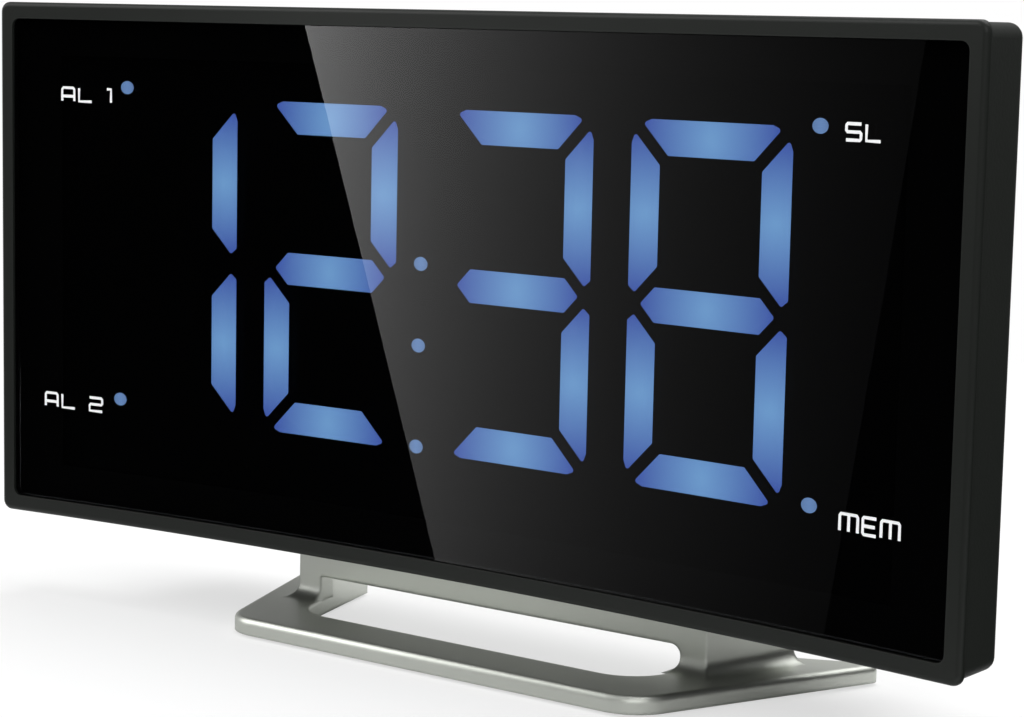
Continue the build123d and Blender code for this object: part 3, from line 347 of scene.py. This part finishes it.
def lit_material(name, reach, middle_blue, tip_blue):
    """A diffuser lit from behind its middle; reach is where the fade ends, as a share of the half length."""
    material, shader = start_material(name, DIFFUSER_TINT, 0.5)
    tree = material.node_tree
    uv = add_node(tree, "ShaderNodeUVMap")
    centred = add_node(tree, "ShaderNodeVectorMath", {"operation": "SUBTRACT"}, _0=uv.outputs["UV"],
                       _1=(0.5, 0.5, 0.0))
    shaped = add_node(tree, "ShaderNodeVectorMath", {"operation": "MULTIPLY"}, _0=centred.outputs[0],
                      _1=(2.0, 0.35, 0.0))
    far = add_node(tree, "ShaderNodeVectorMath", {"operation": "LENGTH"}, _0=shaped.outputs[0])
    fade = add_node(tree, "ShaderNodeMapRange", {"interpolation_type": "LINEAR"},
                    Value=far.outputs["Value"], From_Min=0.0, From_Max=reach, To_Min=1.0, To_Max=0.0)
    colour = add_node(tree, "ShaderNodeMix", {"data_type": "RGBA"}, _0=fade.outputs["Result"],
                      _6=(*tip_blue, 1), _7=(*middle_blue, 1))
    tree.links.new(colour.outputs[2], shader.inputs["Emission Color"])
    shader.inputs["Emission Strength"].default_value = 1.0
    return material


segment_glow = lit_material("segment_glow", 1.0, MIDDLE_BLUE, TIP_BLUE)
dot_glow = lit_material("dot_glow", 1.4, DOT_BLUE, DOT_RIM_BLUE)

# %% Lit segments and indicator lights


def map_island(island, uv_layer):
    """UV along and across one island, from its box in the front view."""
    corners = [loop.vert.co for face in island for loop in face.loops]
    low = Vector((min(c.x for c in corners), 0, min(c.z for c in corners)))
    high = Vector((max(c.x for c in corners), 0, max(c.z for c in corners)))
    size = high - low
    for face in island:
        for loop in face.loops:
            across = (loop.vert.co.x - low.x) / size.x
            up = (loop.vert.co.z - low.z) / size.z
            loop[uv_layer].uv = (across, up) if size.x >= size.z else (up, across)


def lit_piece(name, node_name, material):
    """Replaces a lit CAD node by its merged copy with a UV map on each island."""
    shape = merged_copy(node_name)
    uv_layer = shape.loops.layers.uv.new("UVMap")
    islands = face_islands(shape)
    for island in islands:
        map_island(island, uv_layer)
    print(f"{node_name}: {len(islands)} islands")
    return finish_piece(name, shape, "clock", [material], [node_name])


lit_piece("segment_light", "lit_segments", segment_glow)
lit_piece("indicator_light", "indicator_lights", dot_glow)

# %% [markdown]
# ## Printed marks
# White function letters stand beside the indicator lights. They are a thin ink on the outside of the
# window. Each letter is a few strokes of one width, so it is drawn as curves along the strokes, with a
# round pen, and then made a mesh. Each point of it is thrown straight back at the window, and stands
# there on the true surface, flattened to the thickness of ink. The letters are drawn in a frame one
# unit high, and each width is given beside its strokes. The box that a word fills is given by two
# corners, in millimetres from the middle of the face.

# %% Strokes of the letters
STROKE = 0.42 * MM
INK = 0.02 * MM
INK_LIFT = 0.6
LETTER_GAP, WORD_GAP = 0.42, 0.9
GLYPHS = {
    "A": (1.05, [[(0, 0), (0, 0.87), (0.11, 1), (0.94, 1), (1.05, 0.87), (1.05, 0)],
                 [(0, 0.36), (1.05, 0.36)]]),
    "L": (1.1, [[(0, 1), (0, 0), (1.1, 0)]]),
    "S": (1.15, [[(1.15, 1), (0.1, 1), (0, 0.9), (0, 0.6), (0.1, 0.5), (1.05, 0.5), (1.15, 0.4),
                  (1.15, 0.1), (1.05, 0), (0, 0)]]),
    "M": (1.5, [[(0, 0), (0, 0.88), (0.11, 1), (1.39, 1), (1.5, 0.88), (1.5, 0)], [(0.75, 0), (0.75, 1)]]),
    "E": (1.1, [[(1.1, 1), (0.1, 1), (0, 0.9), (0, 0.1), (0.1, 0), (1.1, 0)], [(0, 0.5), (1.0, 0.5)]]),
    "1": (0.35, [[(0, 1), (0.35, 1), (0.35, 0)]]),
    "2": (1.1, [[(0, 1), (1.0, 1), (1.1, 0.9), (1.1, 0.6), (1.0, 0.5), (0.1, 0.5), (0, 0.4), (0, 0),
                 (1.1, 0)]]),
}


def stroke_mesh(lines, width):
    """A mesh of round-penned strokes through points of a flat drawing, X across and Z up."""
    curve = bpy.data.curves.new("strokes", "CURVE")
    curve.dimensions = "3D"
    curve.bevel_depth = width / 2
    curve.bevel_resolution = 2
    curve.use_fill_caps = True
    for points in lines:
        spline = curve.splines.new("POLY")
        spline.points.add(len(points) - 1)
        for place, point in zip(spline.points, points):
            place.co = (point[0], 0, point[1], 1)
    holder = bpy.data.objects.new("strokes", curve)
    mesh = bpy.data.meshes.new_from_object(holder)
    bpy.data.objects.remove(holder)
    bpy.data.curves.remove(curve)
    return mesh


def drawn_word(word, low, high):
    """The strokes of a word, fitted in a box given by its low and high corners, each (x, z)."""
    lines, x = [], 0.0
    for letter in word:
        if letter == " ":
            x += WORD_GAP
            continue
        width, strokes = GLYPHS[letter]
        lines += [[(x + px, pz) for px, pz in points] for points in strokes]
        x += width + LETTER_GAP
    x -= LETTER_GAP
    inner_low = [value + STROKE / 2 for value in low]
    inner_size = [top - bottom - STROKE for bottom, top in zip(low, high)]
    return [[(inner_low[0] + px / x * inner_size[0], inner_low[1] + pz * inner_size[1])
             for px, pz in points] for points in lines]


# %% Ink material and the four labels
PRINT_WHITE = (0.86, 0.87, 0.88)
LABELS = [("AL 1", (-68.3, 23.3), (-58.9, 25.6)), ("AL 2", (-71.5, -21.4), (-60.5, -19.05)),
          ("SL", (60.6, 23.3), (65.8, 25.6)), ("MEM", (61.7, -22.15), (70.5, -19.7))]
white_ink, shader = start_material("white_ink", PRINT_WHITE, 0.55)
window_shape = merged_copy("display_window")
window_tree = BVHTree.FromBMesh(window_shape)
letters = bmesh.new()
for word, low, high in LABELS:
    box_low = (low[0] * MM, face_centre + low[1] * MM)
    box_high = (high[0] * MM, face_centre + high[1] * MM)
    drawing = stroke_mesh(drawn_word(word, box_low, box_high), STROKE)
    letters.from_mesh(drawing)
    bpy.data.meshes.remove(drawing)
for vertex in letters.verts:
    spot = window_tree.ray_cast(Vector((vertex.co.x, -1.0, vertex.co.z)), Vector((0, 1, 0)))[0]
    vertex.co = spot + Vector((0, (vertex.co.y / STROKE - INK_LIFT) * INK, 0))
window_shape.free()
finish_piece("function_letters", letters, "clock", [white_ink])

# %% [markdown]
# ## Signs on the buttons
# The row of buttons on top carries small printed signs, drawn with a thinner pen than the front's
# letters: a power sign, the two alarms, the memory, two sleepy Zs on the long snooze bar, arrows for the
# tuning, and minus and plus for the volume. Each sign is a piece of its own, because it goes down with
# its button. It is drawn flat, in millimetres from the button's middle, then laid on the button's top
# and given the thickness of ink.

# %% Signs on the buttons
SIGN_PEN = 0.32 * MM
SIGN_HALF_HEIGHT = 0.7
ARC_STEPS = 24


def arc(radius, start, end):
    """Points along an arc, its angles in degrees from the right."""
    angles = [math.radians(start + (end - start) * step / ARC_STEPS) for step in range(ARC_STEPS + 1)]
    return [(radius * math.cos(angle), radius * math.sin(angle)) for angle in angles]


def word_sign(word, width):
    """The strokes of a word centred on a button, in millimetres."""
    low, high = (-width / 2 * MM, -SIGN_HALF_HEIGHT * MM), (width / 2 * MM, SIGN_HALF_HEIGHT * MM)
    return [[(x / MM, y / MM) for x, y in points] for points in drawn_word(word, low, high)]


zig = [(-1.0, 1.3), (1.0, 1.3), (-1.0, -1.3), (1.0, -1.3)]
SIGNS = {
    "power_button": [arc(1.2, 130, 410), [(0, 0.5), (0, 1.7)]],
    "alarm_one_button": word_sign("AL 1", 4.4),
    "alarm_two_button": word_sign("AL 2", 4.8),
    "memory_button": word_sign("MEM", 4.8),
    "snooze_bar": [zig, [(2.2 + 0.7 * x, -0.39 + 0.7 * y) for x, y in zig]],
    "tuning_down_button": [[(0.6, 1.2), (-0.6, 0), (0.6, -1.2)]],
    "tuning_up_button": [[(-0.6, 1.2), (0.6, 0), (-0.6, -1.2)]],
    "volume_down_button": [[(-1.2, 0), (1.2, 0)]],
    "volume_up_button": [[(-1.2, 0), (1.2, 0)], [(0, -1.2), (0, 1.2)]],
}
for name, lines in SIGNS.items():
    low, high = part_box(name)
    middle = (low + high) / 2
    metres = [[(x * MM, y * MM) for x, y in points] for points in lines]
    drawing = stroke_mesh(metres, SIGN_PEN)
    sign = bmesh.new()
    sign.from_mesh(drawing)
    bpy.data.meshes.remove(drawing)
    for vertex in sign.verts:
        lift = (INK_LIFT - vertex.co.y / SIGN_PEN) * INK
        vertex.co = Vector((middle.x + vertex.co.x, middle.y + vertex.co.z, high.z + lift))
    finish_piece(name + "_sign", sign, name, [white_ink])

# %% [markdown]
# ## The black border behind the window
# A smoked window shows what lies behind its edge, such as the ledge and the screw posts. So a real one
# has a black border screen-printed round its back. Here it is four strips that follow the curve. They
# lie just inside the back of the plate, where the ink would be, and are given a hair of thickness.

# %% Printed border
BORDER_SIDE = 8.0 * MM
BORDER_RISE = 5.0 * MM
BORDER_MARGIN = 0.1 * MM
BORDER_DEPTH = 1.35 * MM
border_depth = window_sink + BORDER_DEPTH
border_half = (window_high.x - window_low.x) / 2 - BORDER_MARGIN
border_up = (window_high.z - window_low.z) / 2 - BORDER_MARGIN
inner_half, inner_up = border_half - BORDER_SIDE, border_up - BORDER_RISE
border = bmesh.new()
for low, high in (((-border_half, -border_up), (border_half, -inner_up)),
                  ((-border_half, inner_up), (border_half, border_up)),
                  ((-border_half, -inner_up), (-inner_half, inner_up)),
                  ((inner_half, -inner_up), (border_half, inner_up))):
    strip = bmesh.ops.create_grid(border, x_segments=40, y_segments=1, size=0.5)
    for vertex in strip["verts"]:
        x = low[0] + (vertex.co.x + 0.5) * (high[0] - low[0])
        z = low[1] + (vertex.co.y + 0.5) * (high[1] - low[1])
        vertex.co = on_face(x, face_centre + z, border_depth)
bmesh.ops.remove_doubles(border, verts=border.verts, dist=0.01 * MM)
bmesh.ops.solidify(border, geom=border.faces, thickness=INK)
black_ink, shader = start_material("black_ink", HIDDEN_BLACK, 0.9)
add_skin(black_ink, shader, 5000.0, 0.001 * MM, 0.9)
shader.inputs["Specular IOR Level"].default_value = 0.05
finish_piece("window_border", border, "clock", [black_ink])

# %% [markdown]
# ## The cloth behind the loudspeaker slots
# A loudspeaker has a thin black cloth stretched behind its slots, which keeps dust off the cone. It is
# a flat disc in the narrow gap between the grille and the rim of the cone. Its plain weave is made from
# two sets of fine bands that cross. They lighten the colour where a thread stands up, and roughen the
# surface as threads do.

# %% Loudspeaker cloth
CLOTH_RADIUS = 16.0 * MM
CLOTH_THICK = 0.05 * MM
CLOTH_GAP = 0.025 * MM
THREADS = 2400.0
grille_low, grille_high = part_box("speaker_grille")
grille_middle = (grille_low + grille_high) / 2
cloth = bmesh.new()
bmesh.ops.create_circle(cloth, cap_ends=True, segments=64, radius=CLOTH_RADIUS)
bmesh.ops.inset_region(cloth, faces=cloth.faces, thickness=CLOTH_RADIUS / 3)
bmesh.ops.rotate(cloth, cent=(0, 0, 0), matrix=Matrix.Rotation(math.pi / 2, 3, "X"), verts=cloth.verts)
bmesh.ops.translate(cloth, vec=(grille_middle.x, grille_low.y - CLOTH_GAP, grille_middle.z),
                    verts=cloth.verts)
bmesh.ops.solidify(cloth, geom=cloth.faces, thickness=CLOTH_THICK)
bmesh.ops.recalc_face_normals(cloth, faces=cloth.faces)
print("cloth from y", round(min(vertex.co.y for vertex in cloth.verts) / MM, 3),
      "to", round(max(vertex.co.y for vertex in cloth.verts) / MM, 3), "mm")
speaker_cloth, shader = start_material("speaker_cloth", (0.012, 0.012, 0.013), 0.95)
shader.inputs["Sheen Weight"].default_value = 0.2
tree = speaker_cloth.node_tree
place = add_node(tree, "ShaderNodeTexCoord")
warp = add_node(tree, "ShaderNodeTexWave", {"bands_direction": "X"}, Vector=place.outputs["Object"],
                Scale=THREADS / math.tau)
weft = add_node(tree, "ShaderNodeTexWave", {"bands_direction": "Z"}, Vector=place.outputs["Object"],
                Scale=THREADS / math.tau)
weave = add_node(tree, "ShaderNodeMath", {"operation": "MAXIMUM"}, _0=warp.outputs["Fac"],
                 _1=weft.outputs["Fac"])
shade = add_node(tree, "ShaderNodeMix", {"data_type": "RGBA"}, _0=weave.outputs[0],
                 _6=(0.004, 0.004, 0.004, 1), _7=(0.022, 0.022, 0.024, 1))
threads = add_node(tree, "ShaderNodeBump", Height=weave.outputs[0], Distance=0.02 * MM)
tree.links.new(shade.outputs[2], shader.inputs["Base Color"])
tree.links.new(threads.outputs["Normal"], shader.inputs["Normal"])
dust_cloth = finish_piece("speaker_dust_cloth", cloth, "clock", [speaker_cloth])

# %% [markdown]
# ## The silver stand
# The stand is a die casting under a satin silver lacquer. The lacquer hides the grain of the metal, so
# it has no brushing: only a soft, slightly cloudy reflection with a fine sparkle from the flakes in
# the paint. A metallic shader with a middling roughness gives the first, a tiny noise bump the second.
# Lacquer also fills and rounds each edge of the casting, so a Bevel node softens the edges first.

# %% Silver lacquer
SILVER = (0.587, 0.606, 0.56)
LACQUER_ROUNDING = 0.7 * MM
silver_lacquer, shader = start_material("silver_lacquer", SILVER, 0.42, metallic=1.0)
tree = silver_lacquer.node_tree
place = add_node(tree, "ShaderNodeTexCoord")
flakes = add_node(tree, "ShaderNodeTexNoise", Vector=place.outputs["Object"], Scale=9000.0, Detail=2.0)
soft_edges = add_node(tree, "ShaderNodeBevel", {"samples": 6}, Radius=LACQUER_ROUNDING)
flake_bump = add_node(tree, "ShaderNodeBump", Height=flakes.outputs["Fac"], Distance=0.0025 * MM,
                      Normal=soft_edges.outputs["Normal"])
clouds = add_node(tree, "ShaderNodeTexNoise", Vector=place.outputs["Object"], Scale=45.0, Detail=3.0)
cloudy = add_node(tree, "ShaderNodeMapRange", Value=clouds.outputs["Fac"], To_Min=0.38, To_Max=0.46)
tree.links.new(cloudy.outputs["Result"], shader.inputs["Roughness"])
tree.links.new(flake_bump.outputs["Normal"], shader.inputs["Normal"])
dress(["stand"], silver_lacquer)

# %% [markdown]
# ## Small metal, rubber and works
# Screws, spring clip and contacts are zinc or nickel plated steel. Feet and gland are black rubber with
# a dusty bloom. The works inside are seen only when the part is taken apart, but they get a true finish
# as well: green solder mask with copper tracks under it, black blocks, brown loudspeaker paper, grey
# ferrite, yellow chips and clear plastic lenses. The rolled steel has a grain that runs one way.

# %% Small metal
steel_finishes = {"zinc_steel": ((0.52, 0.53, 0.54), 0.32,
                                 ["case_screws", "board_screws", "stand_screws", "button_board_screws",
                                  "speaker_basket"]),
                  "spring_steel": ((0.60, 0.59, 0.57), 0.25, ["projector_clip", "cell_contact"]),
                  "nickel_cell": ((0.68, 0.67, 0.64), 0.18, ["backup_cell"])}
for name, (colour, roughness, names) in steel_finishes.items():
    metal, shader = start_material(name, colour, roughness, metallic=1.0)
    tree = metal.node_tree
    place = add_node(tree, "ShaderNodeTexCoord")
    stretched = add_node(tree, "ShaderNodeMapping", Vector=place.outputs["Object"], Scale=(900, 900, 60))
    grain = add_node(tree, "ShaderNodeTexNoise", Vector=stretched.outputs[0], Scale=1.0, Detail=3.0)
    rough = add_node(tree, "ShaderNodeMapRange", Value=grain.outputs["Fac"], To_Min=roughness - 0.08,
                     To_Max=roughness + 0.10)
    tree.links.new(rough.outputs["Result"], shader.inputs["Roughness"])
    dress(names, metal)

# %% Rubber, boards, blocks, paper
rubber, shader = start_material("rubber", (0.012, 0.012, 0.012), 0.75)
add_skin(rubber, shader, 1800.0, 0.02 * MM, 0.75, 0.12)
dress(["stand_feet", "antenna_gland"], rubber)

BOARD_GREEN = (0.012, 0.085, 0.03)
solder_mask, shader = start_material("solder_mask", BOARD_GREEN, 0.28)
tree = solder_mask.node_tree
place = add_node(tree, "ShaderNodeTexCoord")
tracks = add_node(tree, "ShaderNodeTexBrick", {"offset": 0.37}, Vector=place.outputs["Object"], Scale=160.0,
                  Mortar_Size=0.03, Color1=(*BOARD_GREEN, 1), Color2=(0.010, 0.070, 0.026, 1),
                  Mortar=(0.03, 0.15, 0.06, 1))
tree.links.new(tracks.outputs["Color"], shader.inputs["Base Color"])
dress(["main_board", "display_board", "button_board", "lamp_board"], solder_mask)

block_black, shader = start_material("block_black", (0.016, 0.016, 0.017), 0.45)
add_skin(block_black, shader, 3000.0, 0.01 * MM, 0.45)
dress(["board_components", "button_switches", "cell_holder", "power_inlet", "dimmer_switch"], block_black)

speaker_paper, shader = start_material("speaker_paper", (0.035, 0.030, 0.025), 0.85)
add_skin(speaker_paper, shader, 700.0, 0.05 * MM, 0.85, 0.1)
ferrite, shader = start_material("ferrite", (0.045, 0.045, 0.05), 0.5, metallic=0.3)
add_skin(ferrite, shader, 1500.0, 0.02 * MM, 0.5)
dress(["speaker_cone"], speaker_paper)
dress(["speaker_magnet"], ferrite)

# %% Chips, lamp, film and lens
chip_resin, shader = start_material("chip_resin", (0.75, 0.62, 0.22), 0.3)
add_skin(chip_resin, shader, 4000.0, 0.005 * MM, 0.3)
dress(["light_chips"], chip_resin)
lamp_resin, shader = start_material("lamp_resin", (0.45, 0.03, 0.02), 0.1)
add_skin(lamp_resin, shader, 900.0, 0.002 * MM, 0.1, 0.04)
dress(["projector_lamp"], lamp_resin)
film_black, shader = start_material("film_black", (0.008, 0.008, 0.012), 0.15)
add_skin(film_black, shader, 900.0, 0.002 * MM, 0.15, 0.04)
dress(["time_film"], film_black)
lens_glass, shader = start_material("lens_glass", (0.96, 0.98, 1.0), 0.0)
shader.inputs["Transmission Weight"].default_value = 1.0
shader.inputs["IOR"].default_value = 1.49
tree = lens_glass.node_tree
place = add_node(tree, "ShaderNodeTexCoord")
polish = add_node(tree, "ShaderNodeTexNoise", Vector=place.outputs["Object"], Scale=300.0)
polish_bump = add_node(tree, "ShaderNodeBump", Height=polish.outputs["Fac"], Distance=0.0005 * MM)
tree.links.new(polish_bump.outputs["Normal"], shader.inputs["Normal"])
dress(["projection_lens"], lens_glass)

# %% [markdown]
# ## The studio
# The clock stands on a white floor that runs out to white on all sides. The floor keeps the soft shadow
# of the stand, and further out it turns into an even white that the camera alone sees. For mirror rays
# it ends a few centimetres in front of the clock, as the white board of a real table-top studio does,
# so that the window stays black where nothing bright stands before it. The room around is white to the
# camera too, but it lights the clock at less than half of that level.

# %% Floor
FLOOR_HALF = 40.0
BOARD_EDGE = -0.060
SHADOW_NEAR, SHADOW_FAR = 0.10, 0.35
floor_shape = bmesh.new()
bmesh.ops.create_grid(floor_shape, x_segments=8, y_segments=8, size=FLOOR_HALF)
floor_mesh = bpy.data.meshes.new("floor")
floor_shape.to_mesh(floor_mesh)
floor_shape.free()
floor = bpy.data.objects.new("floor", floor_mesh)
bpy.context.scene.collection.objects.link(floor)
floor_white, shader = start_material("floor_white", (0.90, 0.90, 0.90), 0.9)
shader.inputs["Specular IOR Level"].default_value = 0.0
tree = floor_white.node_tree
output = tree.nodes["Material Output"]
place = add_node(tree, "ShaderNodeTexCoord")
rays = add_node(tree, "ShaderNodeLightPath")
away = add_node(tree, "ShaderNodeVectorMath", {"operation": "LENGTH"}, _0=place.outputs["Object"])
fade = add_node(tree, "ShaderNodeMapRange", Value=away.outputs["Value"], From_Min=SHADOW_NEAR,
                From_Max=SHADOW_FAR, To_Min=0.62, To_Max=1.0)
whiteness = add_node(tree, "ShaderNodeMath", {"operation": "MULTIPLY"}, _0=fade.outputs["Result"],
                     _1=rays.outputs["Is Camera Ray"])
plain_white = add_node(tree, "ShaderNodeEmission", Color=(1, 1, 1, 1), Strength=1.0)
seen = add_node(tree, "ShaderNodeMixShader", _0=whiteness.outputs[0], _1=shader.outputs[0],
                _2=plain_white.outputs[0])
split = add_node(tree, "ShaderNodeSeparateXYZ", Vector=place.outputs["Object"])
in_front = add_node(tree, "ShaderNodeMath", {"operation": "LESS_THAN"}, _0=split.outputs["Y"],
                    _1=BOARD_EDGE)
unseen = add_node(tree, "ShaderNodeMath", {"operation": "MULTIPLY"}, _0=in_front.outputs[0],
                  _1=rays.outputs["Is Glossy Ray"])
dark = add_node(tree, "ShaderNodeEmission", Color=(0, 0, 0, 1), Strength=0.0)
final = add_node(tree, "ShaderNodeMixShader", _0=unseen.outputs[0], _1=seen.outputs[0],
                 _2=dark.outputs[0])
tree.links.new(final.outputs[0], output.inputs["Surface"])
floor_mesh.materials.append(floor_white)
print("floor", [round(side, 1) for side in floor.dimensions])

# %% World
ROOM_LEVEL = 0.42
world = bpy.data.worlds.new("studio")
bpy.context.scene.world = world
world.use_nodes = True
tree = world.node_tree
background = tree.nodes["Background"]
rays = add_node(tree, "ShaderNodeLightPath")
strength = add_node(tree, "ShaderNodeMapRange", Value=rays.outputs["Is Camera Ray"], To_Min=ROOM_LEVEL,
                    To_Max=1.0)
tree.links.new(strength.outputs["Result"], background.inputs["Strength"])
background.inputs["Color"].default_value = (1, 1, 1, 1)
print("room level", ROOM_LEVEL)

# %% [markdown]
# ## Light
# Three large soft lamps and the white surroundings light the clock at a plain level. One hangs above and
# a little behind, which draws the bright line along the top of the frame. The others stand in front,
# a stronger one at the left and a weak one at the right, which lifts the front of the stand's neck.
# Area lamps with a wide shape give the soft edges of a product photograph.

# %% Lamps
LAMP_AIM = Vector((0, 0, 0.05))


def soft_lamp(name, place, width, height, watts):
    """A rectangular area lamp that faces the middle of the clock."""
    data = bpy.data.lights.new(name, "AREA")
    data.shape = "RECTANGLE"
    data.size = width
    data.size_y = height
    data.energy = watts
    lamp = bpy.data.objects.new(name, data)
    bpy.context.scene.collection.objects.link(lamp)
    lamp.location = place
    lamp.rotation_euler = (LAMP_AIM - Vector(place)).to_track_quat("-Z", "Y").to_euler()
    print(f"{name}: {watts} W at {place}")


soft_lamp("top_lamp", (0.1, 0.25, 0.9), 1.0, 0.7, 9.0)
soft_lamp("left_lamp", (-0.8, -0.5, 0.6), 0.6, 0.8, 5.0)
soft_lamp("right_lamp", (0.6, -0.8, 0.5), 0.6, 0.5, 2.5)

# %% [markdown]
# ## A black flag
# A photographer keeps a dark side wall dark by standing a black card beside it, just out of the picture.
# The casing's right wall then mirrors the card and not the white studio behind the clock. The card is
# bent in an L: one side stands, and the other lies on the floor, because the camera looks down and
# sees the floor in the lower part of the wall. The flag is seen by reflections alone, so it takes no
# light from anything. It is a grid of two squares, and each column of its corners goes to a bend.

# %% Black flag


def reflection_card(name, mesh):
    """A piece of the studio that only reflections see."""
    card = bpy.data.objects.new(name, mesh)
    bpy.context.scene.collection.objects.link(card)
    for kind in ("visible_camera", "visible_diffuse", "visible_shadow", "visible_transmission",
                 "visible_volume_scatter"):
        setattr(card, kind, False)
    print(name, [round(side, 3) for side in card.dimensions])


FLAG_BENDS = ((0.082, 0.001), (0.15, 0.001), (0.15, 0.10))
FLAG_FRONT, FLAG_BACK = -0.02, 0.40
flag_shape = bmesh.new()
bmesh.ops.create_grid(flag_shape, x_segments=2, y_segments=1, size=0.5)
for vertex in flag_shape.verts:
    across, up = FLAG_BENDS[round(2 * vertex.co.x + 1)]
    vertex.co = (across, FLAG_FRONT if vertex.co.y < 0 else FLAG_BACK, up)
flag_mesh = bpy.data.meshes.new("black_flag")
flag_shape.to_mesh(flag_mesh)
flag_shape.free()
flag_black, shader = start_material("flag_black", (0.0, 0.0, 0.0), 1.0)
shader.inputs["Specular IOR Level"].default_value = 0.0
flag_mesh.materials.append(flag_black)
reflection_card("black_flag", flag_mesh)

# %% [markdown]
# ## The reflection in the window
# The photograph's window is black on the left and has a grey sheen on the right that starts at a
# sharp slanted line and fades to the right. It is the reflection of one lit card. To find where such a
# card must stand, follow the line of sight from the camera to a place on the window, mirror it there,
# and go out along it. Done for every corner of a grid, this shapes the card to suit the curved window.
# The four corners are places in the front view, in millimetres, and some lie past the window's edge.
# The card's light falls off to the right by the same share over each stretch, as an exponential does,
# and evenly towards the bottom.

# %% Reflected card
CARD_REACH = 0.06
CARD_LENGTH = 0.1
CARD_STRENGTH = 1.24
FALL_TO_RIGHT = -4.37


def mirrored_place(x, z):
    """The place that the camera sees in the window at x, z of the front view."""
    spot = on_face(x, z, window_sink)
    sight = (spot - camera_place).normalized()
    normal = Vector((-x, -(spot.y - face_y + face_radius), 0)).normalized()
    return spot + (sight - 2 * sight.dot(normal) * normal) * CARD_REACH


card_corners = {"top left": Vector((-25.6, 88.0)), "top right": Vector((72.0, 88.0)),
                "bottom left": Vector((-0.2, 12.6)), "bottom right": Vector((60.0, 12.6))}
card_shape = bmesh.new()
card_uv = card_shape.loops.layers.uv.new("UVMap")
bmesh.ops.create_grid(card_shape, x_segments=16, y_segments=8, size=0.5)
for vertex in card_shape.verts:
    right, up = vertex.co.x + 0.5, vertex.co.y + 0.5
    low = card_corners["bottom left"].lerp(card_corners["bottom right"], right)
    high = card_corners["top left"].lerp(card_corners["top right"], right)
    vertex.co.xy = low.lerp(high, up) * MM
for face in card_shape.faces:
    for loop in face.loops:
        loop[card_uv].uv = loop.vert.co.xy / CARD_LENGTH
for vertex in card_shape.verts:
    vertex.co = mirrored_place(vertex.co.x, vertex.co.y)
card_mesh = bpy.data.meshes.new("window_card")
card_shape.to_mesh(card_mesh)
card_shape.free()
card_light = bpy.data.materials.new("card_light")
card_light.use_nodes = True
tree = card_light.node_tree
tree.nodes.remove(tree.nodes["Principled BSDF"])
uv = add_node(tree, "ShaderNodeUVMap")
split = add_node(tree, "ShaderNodeSeparateXYZ", Vector=uv.outputs["UV"])
decay = add_node(tree, "ShaderNodeMath", {"operation": "MULTIPLY"}, _0=split.outputs["X"],
                 _1=FALL_TO_RIGHT)
bright = add_node(tree, "ShaderNodeMath", {"operation": "EXPONENT"}, _0=decay.outputs[0])
lower = add_node(tree, "ShaderNodeMapRange", Value=split.outputs["Y"], From_Min=0.1, From_Max=0.88,
                 To_Min=0.55, To_Max=1.04)
level = add_node(tree, "ShaderNodeMath", {"operation": "MULTIPLY"}, _0=bright.outputs[0],
                 _1=lower.outputs["Result"])
strength = add_node(tree, "ShaderNodeMath", {"operation": "MULTIPLY"}, _0=level.outputs[0],
                    _1=CARD_STRENGTH)
glow = add_node(tree, "ShaderNodeEmission", Color=(1, 1, 1, 1), Strength=strength.outputs[0])
tree.links.new(glow.outputs[0], tree.nodes["Material Output"].inputs["Surface"])
card_mesh.materials.append(card_light)
reflection_card("window_card", card_mesh)

# %% [markdown]
# ## Last settings
# The colours are meant to come out as they are written, so the plain Standard view is used.

# %% Finish
bpy.context.scene.view_settings.view_transform = "Standard"
